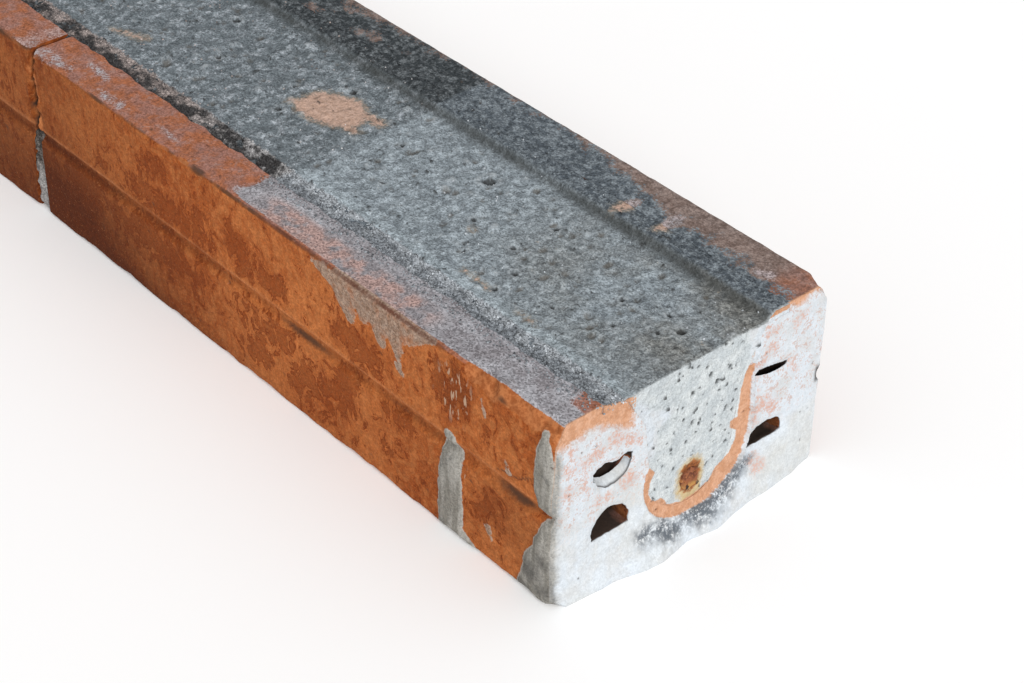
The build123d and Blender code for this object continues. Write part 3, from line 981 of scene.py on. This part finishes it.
clay = matt("fired_clay", clay_colour)
weathered = weather_tree()
far_ends = JOINT_FACES + (FAR_END,)
for number, far in enumerate(far_ends, start=1):
    first = number == 1
    face = NEAR_END if first else far_ends[number - 2]

    def near_at(z, first=first, face=face):
        return z * 0 + face if first else leaning_face(face, z)

    length = near_at(SHELL_HEIGHT) - far
    if first:
        outline = shell_outline(0.9, 1.0, 2.4)
        spaces = (np.arange(0, 8, 0.7), np.arange(8, length - 6, 1.25), np.linspace(length - 6, length, 7))
    else:
        outline = shell_outline(1.8, 2.0, 3.5)
        spaces = (np.arange(0, 60, 1.8), np.linspace(60, length, round(length / 5)))
    made = shell_body(outline, np.concatenate(spaces), far, near_at, first, 0.62 if first else 2.0)
    body, on_end, mouth, recess_shade, plug = made
    points = body.points
    marks = dict.fromkeys(COATS, np.full(len(points), NO_COAT))
    marks |= dict.fromkeys(SHARES, np.zeros(len(points)))
    marks |= near_shell_marks(points, on_end, mouth) if first else plain_shell_marks(points, face)
    marks["skim"] = np.where(plug > 0.5, 1.0, marks["skim"])
    # Painted shade on the hidden joint faces between shells
    hidden = (points[:, 0] < far + 0.6) & (far > FAR_END)
    deep = (np.abs(points[:, 1]) < HALF_WIDTH - 2.2) & (points[:, 2] < SHELL_HEIGHT - 1.5)
    recess_shade = np.where((hidden | on_end & (not first)) & deep, 0.9, recess_shade)
    if first:
        # Painted shade where the +Y key groove meets the near end
        keyhole = ease(points[:, 1], 54.9, 56.2) * (1 - ease(np.abs(points[:, 2] - KEY_HEIGHT), 2.0, 4.2))
        recess_shade = np.where(on_end, np.maximum(recess_shade, 0.9 * keyhole), recess_shade)
    marks["recess_shade"] = recess_shade
    shell = solid_piece(f"fired_shell_{number}", body, marks)
    grow(
        shell, weathered, Seed=number, Material=clay,
        Coarse_Size=0.006, Coarse_Height=0.0005, Fine_Size=0.0018, Fine_Height=0.00022,
        Pore_Density=9000.0, Pore_Least=0.0003, Pore_Most=0.0006, Pore_Depth=1.2,
    )
    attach(shell, "root")
    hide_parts(f"clay_shell_{number}")

# Reinforcing bar
# One steel bar of 8 mm near the foot of the trough, cast in as the tension member and sawn off at the ends.
# Its near end is rusty and crumbled, and the rust has bled down over the concrete round it.
BAR_RADIUS = 4.0
BAR_HEIGHT = 22.0


def rust_colour(tree):
    """Flaky rust, dark in its hollows, orange on its crumbs and ochre towards its foot."""
    flake = grain(tree, 1.7, 4.0, 0.65)
    crumb = grain(tree, 2.6, 4.0, 0.6, 0.0, (1, 1, 1), 0.5)
    rust = flake.ramp(0.36, 0.6).between((0.10, 0.034, 0.022), (0.26, 0.095, 0.045))
    rust = rust.coat(crumb.ramp(0.58, 0.7), (0.42, 0.18, 0.07))
    height = object_place(tree).axes()[2] + (flake * 0.008 - 0.004)
    rust = rust.coat(height.ramp(0.0215, 0.0180, 0.7), (0.50, 0.27, 0.085))
    return rust, flake, 0.0006


rust = matt("rusty_steel", rust_colour)
turn = np.linspace(0, 2 * math.pi, 32, endpoint=False)
section = np.stack([BAR_RADIUS * np.cos(turn), BAR_HEIGHT + BAR_RADIUS * np.sin(turn)], 1)
along = np.concatenate([np.linspace(FAR_END, NEAR_END - 4, 60), NEAR_END - np.array([2.0, 1.0, 0.0])])
body = Body()
rings = body.wall([cross_section(x, section) for x in along])
body.cap([section], [rings[-1]], 0.6, 3, lambda grid: cross_section(NEAR_END, grid))
body.cap([section], [rings[0]], 2.0, 3, lambda grid: cross_section(FAR_END, grid))
points = body.points
at_end = points[:, 0] > NEAR_END - 0.5
points[:, 0] += np.where(at_end, 0.5 + 0.9 * ripple(points, 2.2, 11), 0)
points[:, 0] -= np.where(points[:, 0] < FAR_END + 0.5, 0.4, 0)
marks = {"relief": np.where(at_end, 1.0, 0.3), "pores": np.zeros(len(points))}
bar = solid_piece("rusty_bar", body, marks)
grow(
    bar, weathered, Seed=3, Material=rust,
    Coarse_Size=0.003, Coarse_Height=0.0004, Fine_Size=0.001, Fine_Height=0.0002,
    Pore_Density=1.0, Pore_Least=0.0001, Pore_Most=0.0002, Pore_Depth=0.0,
)
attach(bar, "root")
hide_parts("reinforcing_bar")

# Concrete core
# Concrete cast into the trough round the bar and struck off just below the flanges, full of pores.
# Its slurry fills the rebates beside it, as a rough strip on the -Y side and flush on the +Y side.
CONCRETE_TOP = 68.5
FIN_HALF = 56.0
FIN_FOOT = 1.5
FIN_TOP = 35.0
# Pores of the top, along, across and radius
TOP_PORES = (
    (-189, 16, 1.6), (-197, -11, 1.6), (-258, 15, 1.7), (-114, 15, 2.5), (-78, 13, 1.4), (-68, -14, 1.2),
    (-66, -24, 1.2), (-12, 5, 1.7), (-79, -5, 1.1), (-36, 3, 1.0), (-100, -4, 1.2), (-88, -18, 0.9),
    (-47, -17, 0.9), (-150, 7, 1.0), (-136, -13, 1.0), (-206, 3, 0.9), (-240, -6, 1.1), (-290, 0, 1.3),
    (-310, 14, 1.1), (-28, -9, 1.2), (-20, 8, 1.2), (-16, -1, 1.0),
)
# Brown dents of the top, along, across and their two half widths
BROWN_DENTS = (
    (-101, 24.8, 1.5, 2.0), (-62, -7.1, 1.4, 3.2), (-62, -17.1, 1.2, 2.4), (-107.7, -6.8, 1.3, 1.5),
    (-81.9, 15.2, 1.2, 2.4), (-67.7, 23.0, 1.4, 1.8), (-145.3, 8.7, 1.5, 3.0), (-117.1, 3.0, 1.7, 1.6),
    (-54.0, 13.5, 1.3, 3.0), (-98.6, -4.7, 1.0, 1.2), (-21.1, 24.5, 1.4, 1.8), (-33.0, -14.0, 1.3, 2.2),
)
# Tapered strokes of tan stain on the top, along and across
TAN_STROKES = (
    (-199, -3, 2.0, -190, 1, 7.0), (-190, 3, 9.5, -182, 5, 9.5), (-184, 9, 6.5, -177, 5, 6.0),
    (-177, 10, 2.5, -167, 11, 2.0), (-174, 2, 3.0, -169, 1, 1.5), (-282, -23, 0.8, -269, -18, 1.4),
    (-73, 35, 1.8, -72, 39, 2.6), (-56, 37, 1.2, -55, 39, 2.0), (-81, -23.6, 0.2, -68, -24.2, 0.3),
    (-53, -25.6, 0.1, -45, -26.0, 0.1), (-98, -7.0, 0.2, -96, -7.0, 0.3),
)
# Pores of the near end, across, up and radius
END_PORES = (
    (1, 65, 0.8), (7, 59, 1.1), (15.5, 58, 1.0), (10, 55, 1.0), (-0.5, 55.5, 1.0), (-23, 60, 0.6),
    (14.5, 42, 1.1), (-11, 41.5, 0.7), (18, 57.5, 0.6), (-2, 37, 0.8), (3, 42, 0.6), (0, 44, 0.9),
    (16, 28, 0.9), (8, 23, 0.7), (-7, 29, 0.7), (-5, 52, 0.6), (-7, 52.5, 0.5), (12.5, 68, 0.7),
    (20, 65.5, 0.6), (-9, 36, 0.5), (-14, 36.5, 0.5), (19, 47, 0.6), (2, 39, 0.5), (10, 31, 0.5),
    (-15.5, 21.5, 0.7), (5, 63, 0.6), (-4, 47, 0.7), (6, 48, 0.6), (-12, 33, 0.6), (13, 36, 0.7),
    (18, 40, 0.8), (-8, 44, 0.6), (9, 39, 0.6), (11, 51, 0.7), (-15, 48, 0.5),
)
# Strokes on the near end, across and up: rust round the bar, its yellow halo, and the white skim
RUST_STROKES = ((0.4, 24.0, 5.0, 0.4, 20.5, 4.6), (0.4, 20.5, 4.6, 0.9, 18.4, 3.0))
HALO_STROKES = ((0.4, 24.0, 5.8, 0.4, 20.0, 6.0), (0.4, 20.0, 6.0, 1.0, 15.0, 4.4))
WHITE_STROKES = (
    (-25, 63, 2.0, -19, 54, 3.6), (-19, 54, 3.6, -13, 53, 3.0), (-19, 50, 3.2, -17.5, 40, 1.4),
    (26, 66, 3.0, 24, 58, 1.0), (32, 69, 3.5, 39, 70, 3.5),
)


def bare_concrete(small, mid, fleck, grains):
    """Dark grey concrete that no dust lies on, flecked pale."""
    dark = mid.ramp(0.38, 0.64).between((0.124, 0.144, 0.157), (0.208, 0.236, 0.256))
    dark = dark.coat(fleck.ramp(0.55, 0.68, 0.85), (0.34, 0.37, 0.40))
    return dark.coat(small.ramp(0.42, 0.30, 0.7), (0.05, 0.057, 0.064)).dim(grains, 0.58, 1.46)


def dusted_concrete(tree, small, mid, fleck, knob, grains):
    """Concrete under pale dust, worn brownish towards the near end and paler beside the rough strip."""
    broad = grain(tree, 30.0, 4.0, 0.6)
    dusted = mid.ramp(0.34, 0.66).between((0.198, 0.228, 0.250), (0.292, 0.332, 0.360))
    dusted = dusted.coat(small.ramp(0.42, 0.28, 0.65), (0.10, 0.118, 0.13))
    dusted = dusted.coat(small.ramp(0.60, 0.72, 0.55), (0.40, 0.445, 0.48))
    brownish = small.ramp(0.34, 0.66).between((0.105, 0.105, 0.096), (0.25, 0.248, 0.232))
    dusted = dusted.coat(mark(tree, "worn") * broad.ramp(0.3, 0.65), brownish)
    strip = mark(tree, "strip")
    margin = strip.ramp(-6.0, -2.5) * strip.ramp(0.3, -0.6)
    dusted = dusted.coat(margin.ramp(0.0, 1.0, 0.6), (0.335, 0.385, 0.415))
    dusted = dusted.dim(knob, 0.80, 1.20).dim(grains, 0.60, 1.44)
    ochre = fleck + grains * 0.1
    return dusted.coat(ochre.ramp(0.80, 0.90, 0.5), (0.36, 0.27, 0.18))


def joint_concrete(tree, small, grains):
    """Dark concrete of the fins, washed pale towards the foot of the joint."""
    joint = small.ramp(0.40, 0.66).between((0.045, 0.038, 0.033), (0.20, 0.18, 0.165))
    joint = joint.coat(mark(tree, "washed").ramp(0.0, 1.0, 0.75), (0.36, 0.35, 0.345))
    return joint.dim(grains, 0.6, 1.4)


def far_crumbs(tree, patch):
    """Cement crumbs that are not dusted, brownish far off and greyer towards the dusted part."""
    along = object_place(tree).axes()[0]
    pale = along.ramp(0.27, 0.32).between((0.262, 0.222, 0.208), (0.37, 0.36, 0.36))
    return patch.between((0.044, 0.042, 0.042), pale)


def pale_end(tree, small, mid, grains):
    """Pale concrete of the near end with white skim, rust round the bar and bare clay at its edges."""
    lime = mid.ramp(0.36, 0.64).between((0.455, 0.49, 0.505), (0.555, 0.585, 0.59))
    lime = lime.coat(small.ramp(0.40, 0.28, 0.6), (0.26, 0.275, 0.275)).dim(grains, 0.84, 1.1)
    lime = lime.coat(mark(tree, "skim").ragged(mid, 4.0, 1.0), white_skim(mid).dim(grains, 0.95, 1.04))
    lime = lime.coat(mark(tree, "halo").ragged(small, 3.0, 1.6, 0.8), (0.52, 0.37, 0.155))
    rusty = small.ramp(0.34, 0.64).between((0.11, 0.036, 0.018), (0.34, 0.125, 0.042))
    lime = lime.coat(mark(tree, "rusty").ragged(small, 3.0, 0.8), rusty.dim(grains, 0.75, 1.2))
    patchy = mid * 0.7 + grains * 0.3
    frayed = mark(tree, "raw") + (patchy - 0.5) * (mark(tree, "fray") * 11.0 + 1.0)
    return lime.coat(frayed.ramp(-0.2, 0.2), raw_clay(small, grains))


def concrete_colour(tree):
    """Grey concrete: dusted near, darker and flecked far, pale and pored on the near end, with painted
    shade in pores and dents and a painted highlight on pore rims and humps.
    """
    fine = grain(tree, 0.8, 3.0, 0.7)
    small = grain(tree, 1.9, 4.0, 0.7)
    mid = grain(tree, 4.6, 4.0, 0.65)
    knob = grain(tree, 2.6, 2.0, 0.5).ramp(0.32, 0.68)
    grains = grit(tree, 0.5)
    fleck = small + (mid - 0.5) * 0.9
    near = mark(tree, "dust").ragged(small, 2.4, 0.9)
    dusted = dusted_concrete(tree, small, mid, fleck, knob, grains)
    grey = near.between(bare_concrete(small, mid, fleck, grains), dusted)
    grey = grey.coat(mark(tree, "fin"), joint_concrete(tree, small, grains))
    clump = grain(tree, 7.0, 4.0, 0.6) + mark(tree, "strip") * -0.026
    patch = clump.ramp(0.32, 0.52)
    dusted_crumbs = patch.between((0.19, 0.206, 0.224), (0.32, 0.34, 0.362))
    crumbs = near.between(far_crumbs(tree, patch), dusted_crumbs).dim(grains, 0.38, 1.66)
    grey = grey.coat(mark(tree, "strip").ragged(small, 1.6, 0.5), crumbs)
    grey = grey.coat(mark(tree, "cement").ragged(small, 1.4, 0.6), smeared_cement(near, small, grains))
    grey = grey.coat(mark(tree, "shade").ramp(0.0, 1.0, 0.78), (0.045, 0.047, 0.044))
    sandy = small.ramp(0.34, 0.66).between((0.44, 0.29, 0.22), (0.52, 0.36, 0.288)).dim(grains, 0.85, 1.15)
    fringe = mark(tree, "tan").ragged(small, 4.5, 2.4)
    grey = grey.coat(fringe, fringe.ramp(0.4, 0.9).between((0.27, 0.215, 0.15), sandy))
    grey = grey.coat(mark(tree, "end"), pale_end(tree, small, mid, grains))
    # Painted highlight on pore rims and humps
    grey = grey.coat(mark(tree, "rim") * small.ramp(0.35, 0.6), (0.39, 0.42, 0.44))
    # Painted shade in the dents, brown on the brown dents
    dent_shade_and_brown_share = mark(tree, "dent_shade_and_brown") * small.ramp(0.25, 0.5)
    grey = grey.coat(dent_shade_and_brown_share.ramp(0.0, 1.0, 0.66), (0.095, 0.080, 0.062))
    # Painted shade in the pores
    pit = mark(tree, "pit").greater(mark(tree, "pore_shade"))
    grey = grey.coat(pit.ramp(0.2, 0.9, 0.85), (0.035, 0.035, 0.034))
    return grey, fine + small + knob, 0.0006


def across_joint(y, loop):
    """Points of a joint's loop at a place across the lintel."""
    return np.column_stack([loop[:, 0], np.full(len(loop), y), loop[:, 1]])


edge = REBATE_HALF - 0.05
foot = LEDGE - 0.2
rise = stretch((-edge, foot), (-edge, CONCRETE_TOP), 0.35)
crown = stretch((-edge, CONCRETE_TOP), (edge, CONCRETE_TOP), 0.85) + [(edge, CONCRETE_TOP)]
wall = path([(MOUTH_HALF, foot), (NECK_HALF, NECK_HEIGHT), (TROUGH_RADIUS, TROUGH_SPRING)], (2.4, 2.4))
wall += bend((0, TROUGH_SPRING), TROUGH_RADIUS, 0, -90, 12)
outline = np.array(rise + crown + mirrored(rise) + wall + [(0, TROUGH_FLOOR)] + mirrored(wall))
depths = np.concatenate([np.arange(0, 6, 0.7), np.arange(6, 345, 0.95), np.linspace(346, 1000, 110)])
body = Body()
rings = body.wall([cross_section(NEAR_END - depth, outline) for depth in depths])
near_cap = body.cap([outline], [rings[0]], 0.7, 7, lambda grid: cross_section(NEAR_END, grid))
body.cap([outline], [rings[-1]], 3.0, 7, lambda grid: cross_section(FAR_END, grid))
core_count = len(body.points)
spread = (-FIN_HALF, -FIN_HALF + 1.5, -FIN_HALF + 6, -20, 20, FIN_HALF - 6, FIN_HALF)
for face in JOINT_FACES:
    head, heel = leaning_face(face, FIN_TOP), leaning_face(face, FIN_FOOT)
    corners = [(face, FIN_FOOT), (face, FIN_TOP), (head, FIN_TOP), (heel, FIN_FOOT), (face, FIN_FOOT)]
    wedge = np.array(path(corners, (1.1, 1.1, 1.1, 1.1)))
    rings = body.wall([across_joint(y, wedge) for y in spread])
    body.cap([wedge], [rings[0]], 0.9, 9, lambda grid: across_joint(-FIN_HALF, grid))
    body.cap([wedge], [rings[-1]], 0.9, 9, lambda grid: across_joint(FIN_HALF, grid))
points = body.points
u, y, z = points[:, 0] - NEAR_END, points[:, 1].copy(), points[:, 2].copy()
fin = np.arange(len(points)) >= core_count
top = (z > LEDGE + 0.1) & ~fin
on_end = np.zeros(len(points), bool)
on_end[near_cap] = True
waver = ripple(points, 5, 21)
broad = ripple(points, 24, 22)
# The struck-off top rises to the +Y flange and lies rough in the strip beside the -Y one
step_up = ease(y + 0.6 * waver, 29.8, 33.2)
strip = -30.3 - y + 0.6 * waver
near = ease(u, -165, -158)
height = CONCRETE_TOP + 0.25 * broad
height += step_up * (SHELL_HEIGHT + 0.05 - CONCRETE_TOP + 0.15 * waver)
height += 0.4 * ease(strip, -2.6, -0.6) * (1 - ease(strip, -0.4, 0.3))
bed = -0.1 + 0.1 * strip * near + 0.55 * ripple(points, 2.6, 23) - 0.25 * (1 - near) * ease(strip, 6.5, 8.5)
bed += 0.17 * strip * ease(u, -32, -8)
height += ease(strip, 0, 0.8) * bed
points[:, 2] = np.where(top, np.maximum(height, LEDGE + 0.12), z)
points[:, 1] -= np.where(fin & (y < -FIN_HALF + 1), 0.5 + 1.3 * ripple(points, 4, 24), 0)
points[:, 0] += np.where(on_end & (np.abs(y) > 22), 0.6 * ease(np.abs(y), 22, 26), 0)
pore_shade, rim, dent_shade_and_brown = np.zeros(len(points)), np.zeros(len(points)), np.zeros(len(points))
# Top pores sink, with painted shade inside and a painted highlight round their rims
for along, aside, radius in TOP_PORES:
    gap = np.hypot(u - along + 1.5, y - aside - 1.3) / radius
    pore_shade = np.maximum(pore_shade, np.where(top, 1 - ease(gap, 0.7, 1.2), 0))
    rim = np.maximum(rim, np.where(top, 0.6 * (1 - ease(np.abs(gap - 1.5), 0.1, 0.6)), 0))
    points[:, 2] -= np.where(top, radius * 1.1 * (1 - ease(gap, 0.3, 1.2)), 0)
# Small dents and humps strewn over the top, with painted shade in the dents and a painted highlight on the
# humps
scatter = np.random.default_rng(12)
for _ in range(320):
    along, aside = scatter.uniform(-345, 0), scatter.uniform(-27, 28)
    radius, drop = scatter.uniform(0.9, 2.2), scatter.choice((-0.45, 0.6, 0.35))
    gap = np.hypot(u - along, (y - aside) * scatter.uniform(0.7, 1.4)) / radius
    hump = np.where(top, 1 - ease(gap, 0.1, 1.2), 0)
    points[:, 2] -= drop * radius * hump
    if drop > 0:
        dent_shade_and_brown = np.maximum(dent_shade_and_brown, hump * drop / 0.6)
    else:
        rim = np.maximum(rim, 0.75 * hump)
for along, aside, long, wide in BROWN_DENTS:
    hump = np.where(top, 1 - ease(np.hypot((u - along) / long, (y - aside) / wide), 0.3, 1.15), 0)
    points[:, 2] -= 0.7 * hump
    dent_shade_and_brown = np.maximum(dent_shade_and_brown, 1.2 * hump)
# Pores of the near end sink, with painted shade inside
for aside, up, radius in END_PORES:
    radius *= 1.2
    gap = np.hypot(y - aside, z - up) / radius
    pore_shade = np.maximum(pore_shade, np.where(on_end, 1 - ease(gap, 0.6, 1.1), 0))
    points[:, 0] -= np.where(on_end, radius * 1.2 * (1 - ease(gap, 0.3, 1.2)), 0)
bare_edge = np.maximum(-27.2 - y, np.minimum(y - 29.5, points[:, 2] - 69.4))
tan = strokes_depth(u, y, TAN_STROKES)
top_coats = {"dust": u + DUSTED, "strip": strip, "cement": y - 32.2, "tan": tan}
end_coats = {
    "skim": strokes_depth(y, z, WHITE_STROKES),
    "raw": np.maximum(bare_edge, loop_depth(y, z, BAND)),
    "rusty": strokes_depth(y, z, RUST_STROKES) - 0.6,
    "halo": strokes_depth(y, z, HALO_STROKES),
}
marks = {name: np.where(top, depth, NO_COAT) for name, depth in top_coats.items()}
marks |= {name: np.where(on_end, depth, NO_COAT) for name, depth in end_coats.items()}
past_foot = y - 31.0 + 0.3 * waver
shaded = np.where(past_foot > 0, bell(past_foot, 0, 1.5), np.exp(past_foot / 3.0))
marks |= {
    "worn": ease(u, -110, -25) * (0.35 + 0.55 * ease(y, -20, -2)),
    "shade": np.where(top, (0.9 + 0.35 * broad) * shaded, 0),
    "fray": np.where(on_end, ease(-y, 24, 27), 0),
    "fin": fin * 1.0,
    "washed": np.where(fin, ease(-z, -26, -10), 0),
    "dent_shade_and_brown": dent_shade_and_brown,
    "pore_shade": pore_shade,
    "rim": rim,
    "end": on_end.astype(float),
    "relief": np.where(top, 1.0 + 0.6 * ease(strip, 0, 0.8), np.where(on_end, 0.35, fin * 1.0)),
    "pores": np.where(top, 0.3, np.where(on_end, 1.0, 0.0)),
    "crumbs": np.where(top & (u > -520), ease(strip, -0.6, 0.4) + 0.01, 0),
}
concrete = matt("concrete", concrete_colour)
core = solid_piece("cast_concrete", body, marks)
grow(
    core, weathered, Seed=8, Material=concrete,
    Coarse_Size=0.005, Coarse_Height=0.0020, Fine_Size=0.0016, Fine_Height=0.0013,
    Pore_Density=30000.0, Pore_Least=0.0003, Pore_Most=0.001, Pore_Depth=1.2,
)
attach(core, "root")
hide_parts("concrete_core")

# Loose crumbs
# Grains of cement that set on the rough strip and on the -Y flange beside it.
# They are stuck there and so are not pieces of their own.


def crumb_tree():
    """Geometry nodes that strew small angular crumbs over a surface, dense where its attribute asks."""
    kinds = {"Density": "Float", "Least": "Float", "Most": "Float", "Seed": "Int", "Material": "Material"}
    tree, given = new_group("strewn_crumbs", **kinds)
    spots = scatter_points(tree, given, "crumbs", given["Density"])
    ball = put(tree, "GeometryNodeMeshIcoSphere", Radius=1.0, Subdivisions=1)
    turned = chance(tree, (0, 0, 0), (6.28, 6.28, 6.28), given["Seed"], "FLOAT_VECTOR")
    flat = chance(tree, (0.6, 0.5, 0.35), (1, 1, 0.8), 4, "FLOAT_VECTOR")
    size = flat.scaled(chance(tree, given["Least"], given["Most"], 5))
    looks = {"Instance": ball, "Rotation": turned, "Scale": size}
    strewn = put(tree, "GeometryNodeInstanceOnPoints", Points=spots, **looks)
    kept = keep(tree, strewn, "INSTANCE", "tint", chance(tree, 0.0, 1.0, 6))
    return end_group(tree, kept, given["Material"])


def crumb_colour(tree):
    """Crumbs of cement, dark far from the near end and dusted pale close to it."""
    tint = mark(tree, "tint")
    along, across, _ = object_place(tree).axes()
    clump = grain(tree, 7.0, 4.0, 0.6) + (across * 26.0 + 0.788)
    patch = clump.ramp(0.32, 0.52)
    far = far_crumbs(tree, patch).dim(tint, 0.4, 1.9)
    close = patch.between((0.20, 0.215, 0.232), (0.34, 0.36, 0.38)).dim(tint, 0.3, 1.75)
    return along.ramp(0.335, 0.341).between(far, close), tint, 0.0


near_shell = bpy.data.objects["fired_shell_1"]
crumbly = crumb_tree()
crumb_look = matt("crumbs", crumb_colour)
for name, carrier, density in (("strip_crumbs", core, 900000.0), ("flange_crumbs", near_shell, 700000.0)):
    crumbs = stand(name, carrier.data.copy())
    grow(crumbs, crumbly, Density=density, Least=0.0002, Most=0.00062, Seed=2, Material=crumb_look)
    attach(crumbs, "root")

# Studio
# Pale floor under the lintel, even sky light and one wide soft lamp that favours the near end.
LAMP_DIRECTION = (0.80, -0.35, 0.49)
LAMP_POWER = 2.5
LAMP_SPREAD = math.radians(28)
SKY_POWER = 0.68
FLOOR_HALF = 6
CAMERA_PLACE = (0.87168, -0.40883, 0.48656)
CAMERA_AZIMUTH = math.radians(48.115)
CAMERA_ELEVATION = math.radians(36.895)
CAMERA_ROLL = math.radians(1.061)


def floor_colour(tree):
    """Pale matt floor."""
    return (0.95, 0.95, 0.95), grain(tree, 5.0), 0.0


floor_mesh = bpy.data.meshes.new("floor")
corners = [(-FLOOR_HALF, -FLOOR_HALF, 0), (FLOOR_HALF, -FLOOR_HALF, 0)]
corners += [(FLOOR_HALF, FLOOR_HALF, 0), (-FLOOR_HALF, FLOOR_HALF, 0)]
floor_mesh.from_pydata(corners, [], [(0, 1, 2, 3)])
floor_mesh.materials.append(matt("floor", floor_colour))
floor = stand("floor", floor_mesh)

world = bpy.data.worlds.new("studio")
bpy.context.scene.world = world
world.use_nodes = True
sky = world.node_tree.nodes["Background"]
sky.inputs["Color"].default_value = (1, 1, 1, 1)
sky.inputs["Strength"].default_value = SKY_POWER

lamp_data = bpy.data.lights.new("lamp", "SUN")
lamp_data.energy = LAMP_POWER
lamp_data.angle = LAMP_SPREAD
lamp = stand("lamp", lamp_data)
lamp.rotation_euler = Vector(LAMP_DIRECTION).to_track_quat("Z", "Y").to_euler()

lens = bpy.data.cameras.new("camera")
lens.lens = 80.45
lens.sensor_width = 36.0
camera = stand("camera", lens)
aim = Matrix.Rotation(CAMERA_AZIMUTH, 4, "Z") @ Matrix.Rotation(math.pi / 2 - CAMERA_ELEVATION, 4, "X")
camera.matrix_world = Matrix.Translation(CAMERA_PLACE) @ aim @ Matrix.Rotation(CAMERA_ROLL, 4, "Z")
bpy.context.scene.camera = camera
bpy.context.scene.view_settings.view_transform = "Standard"
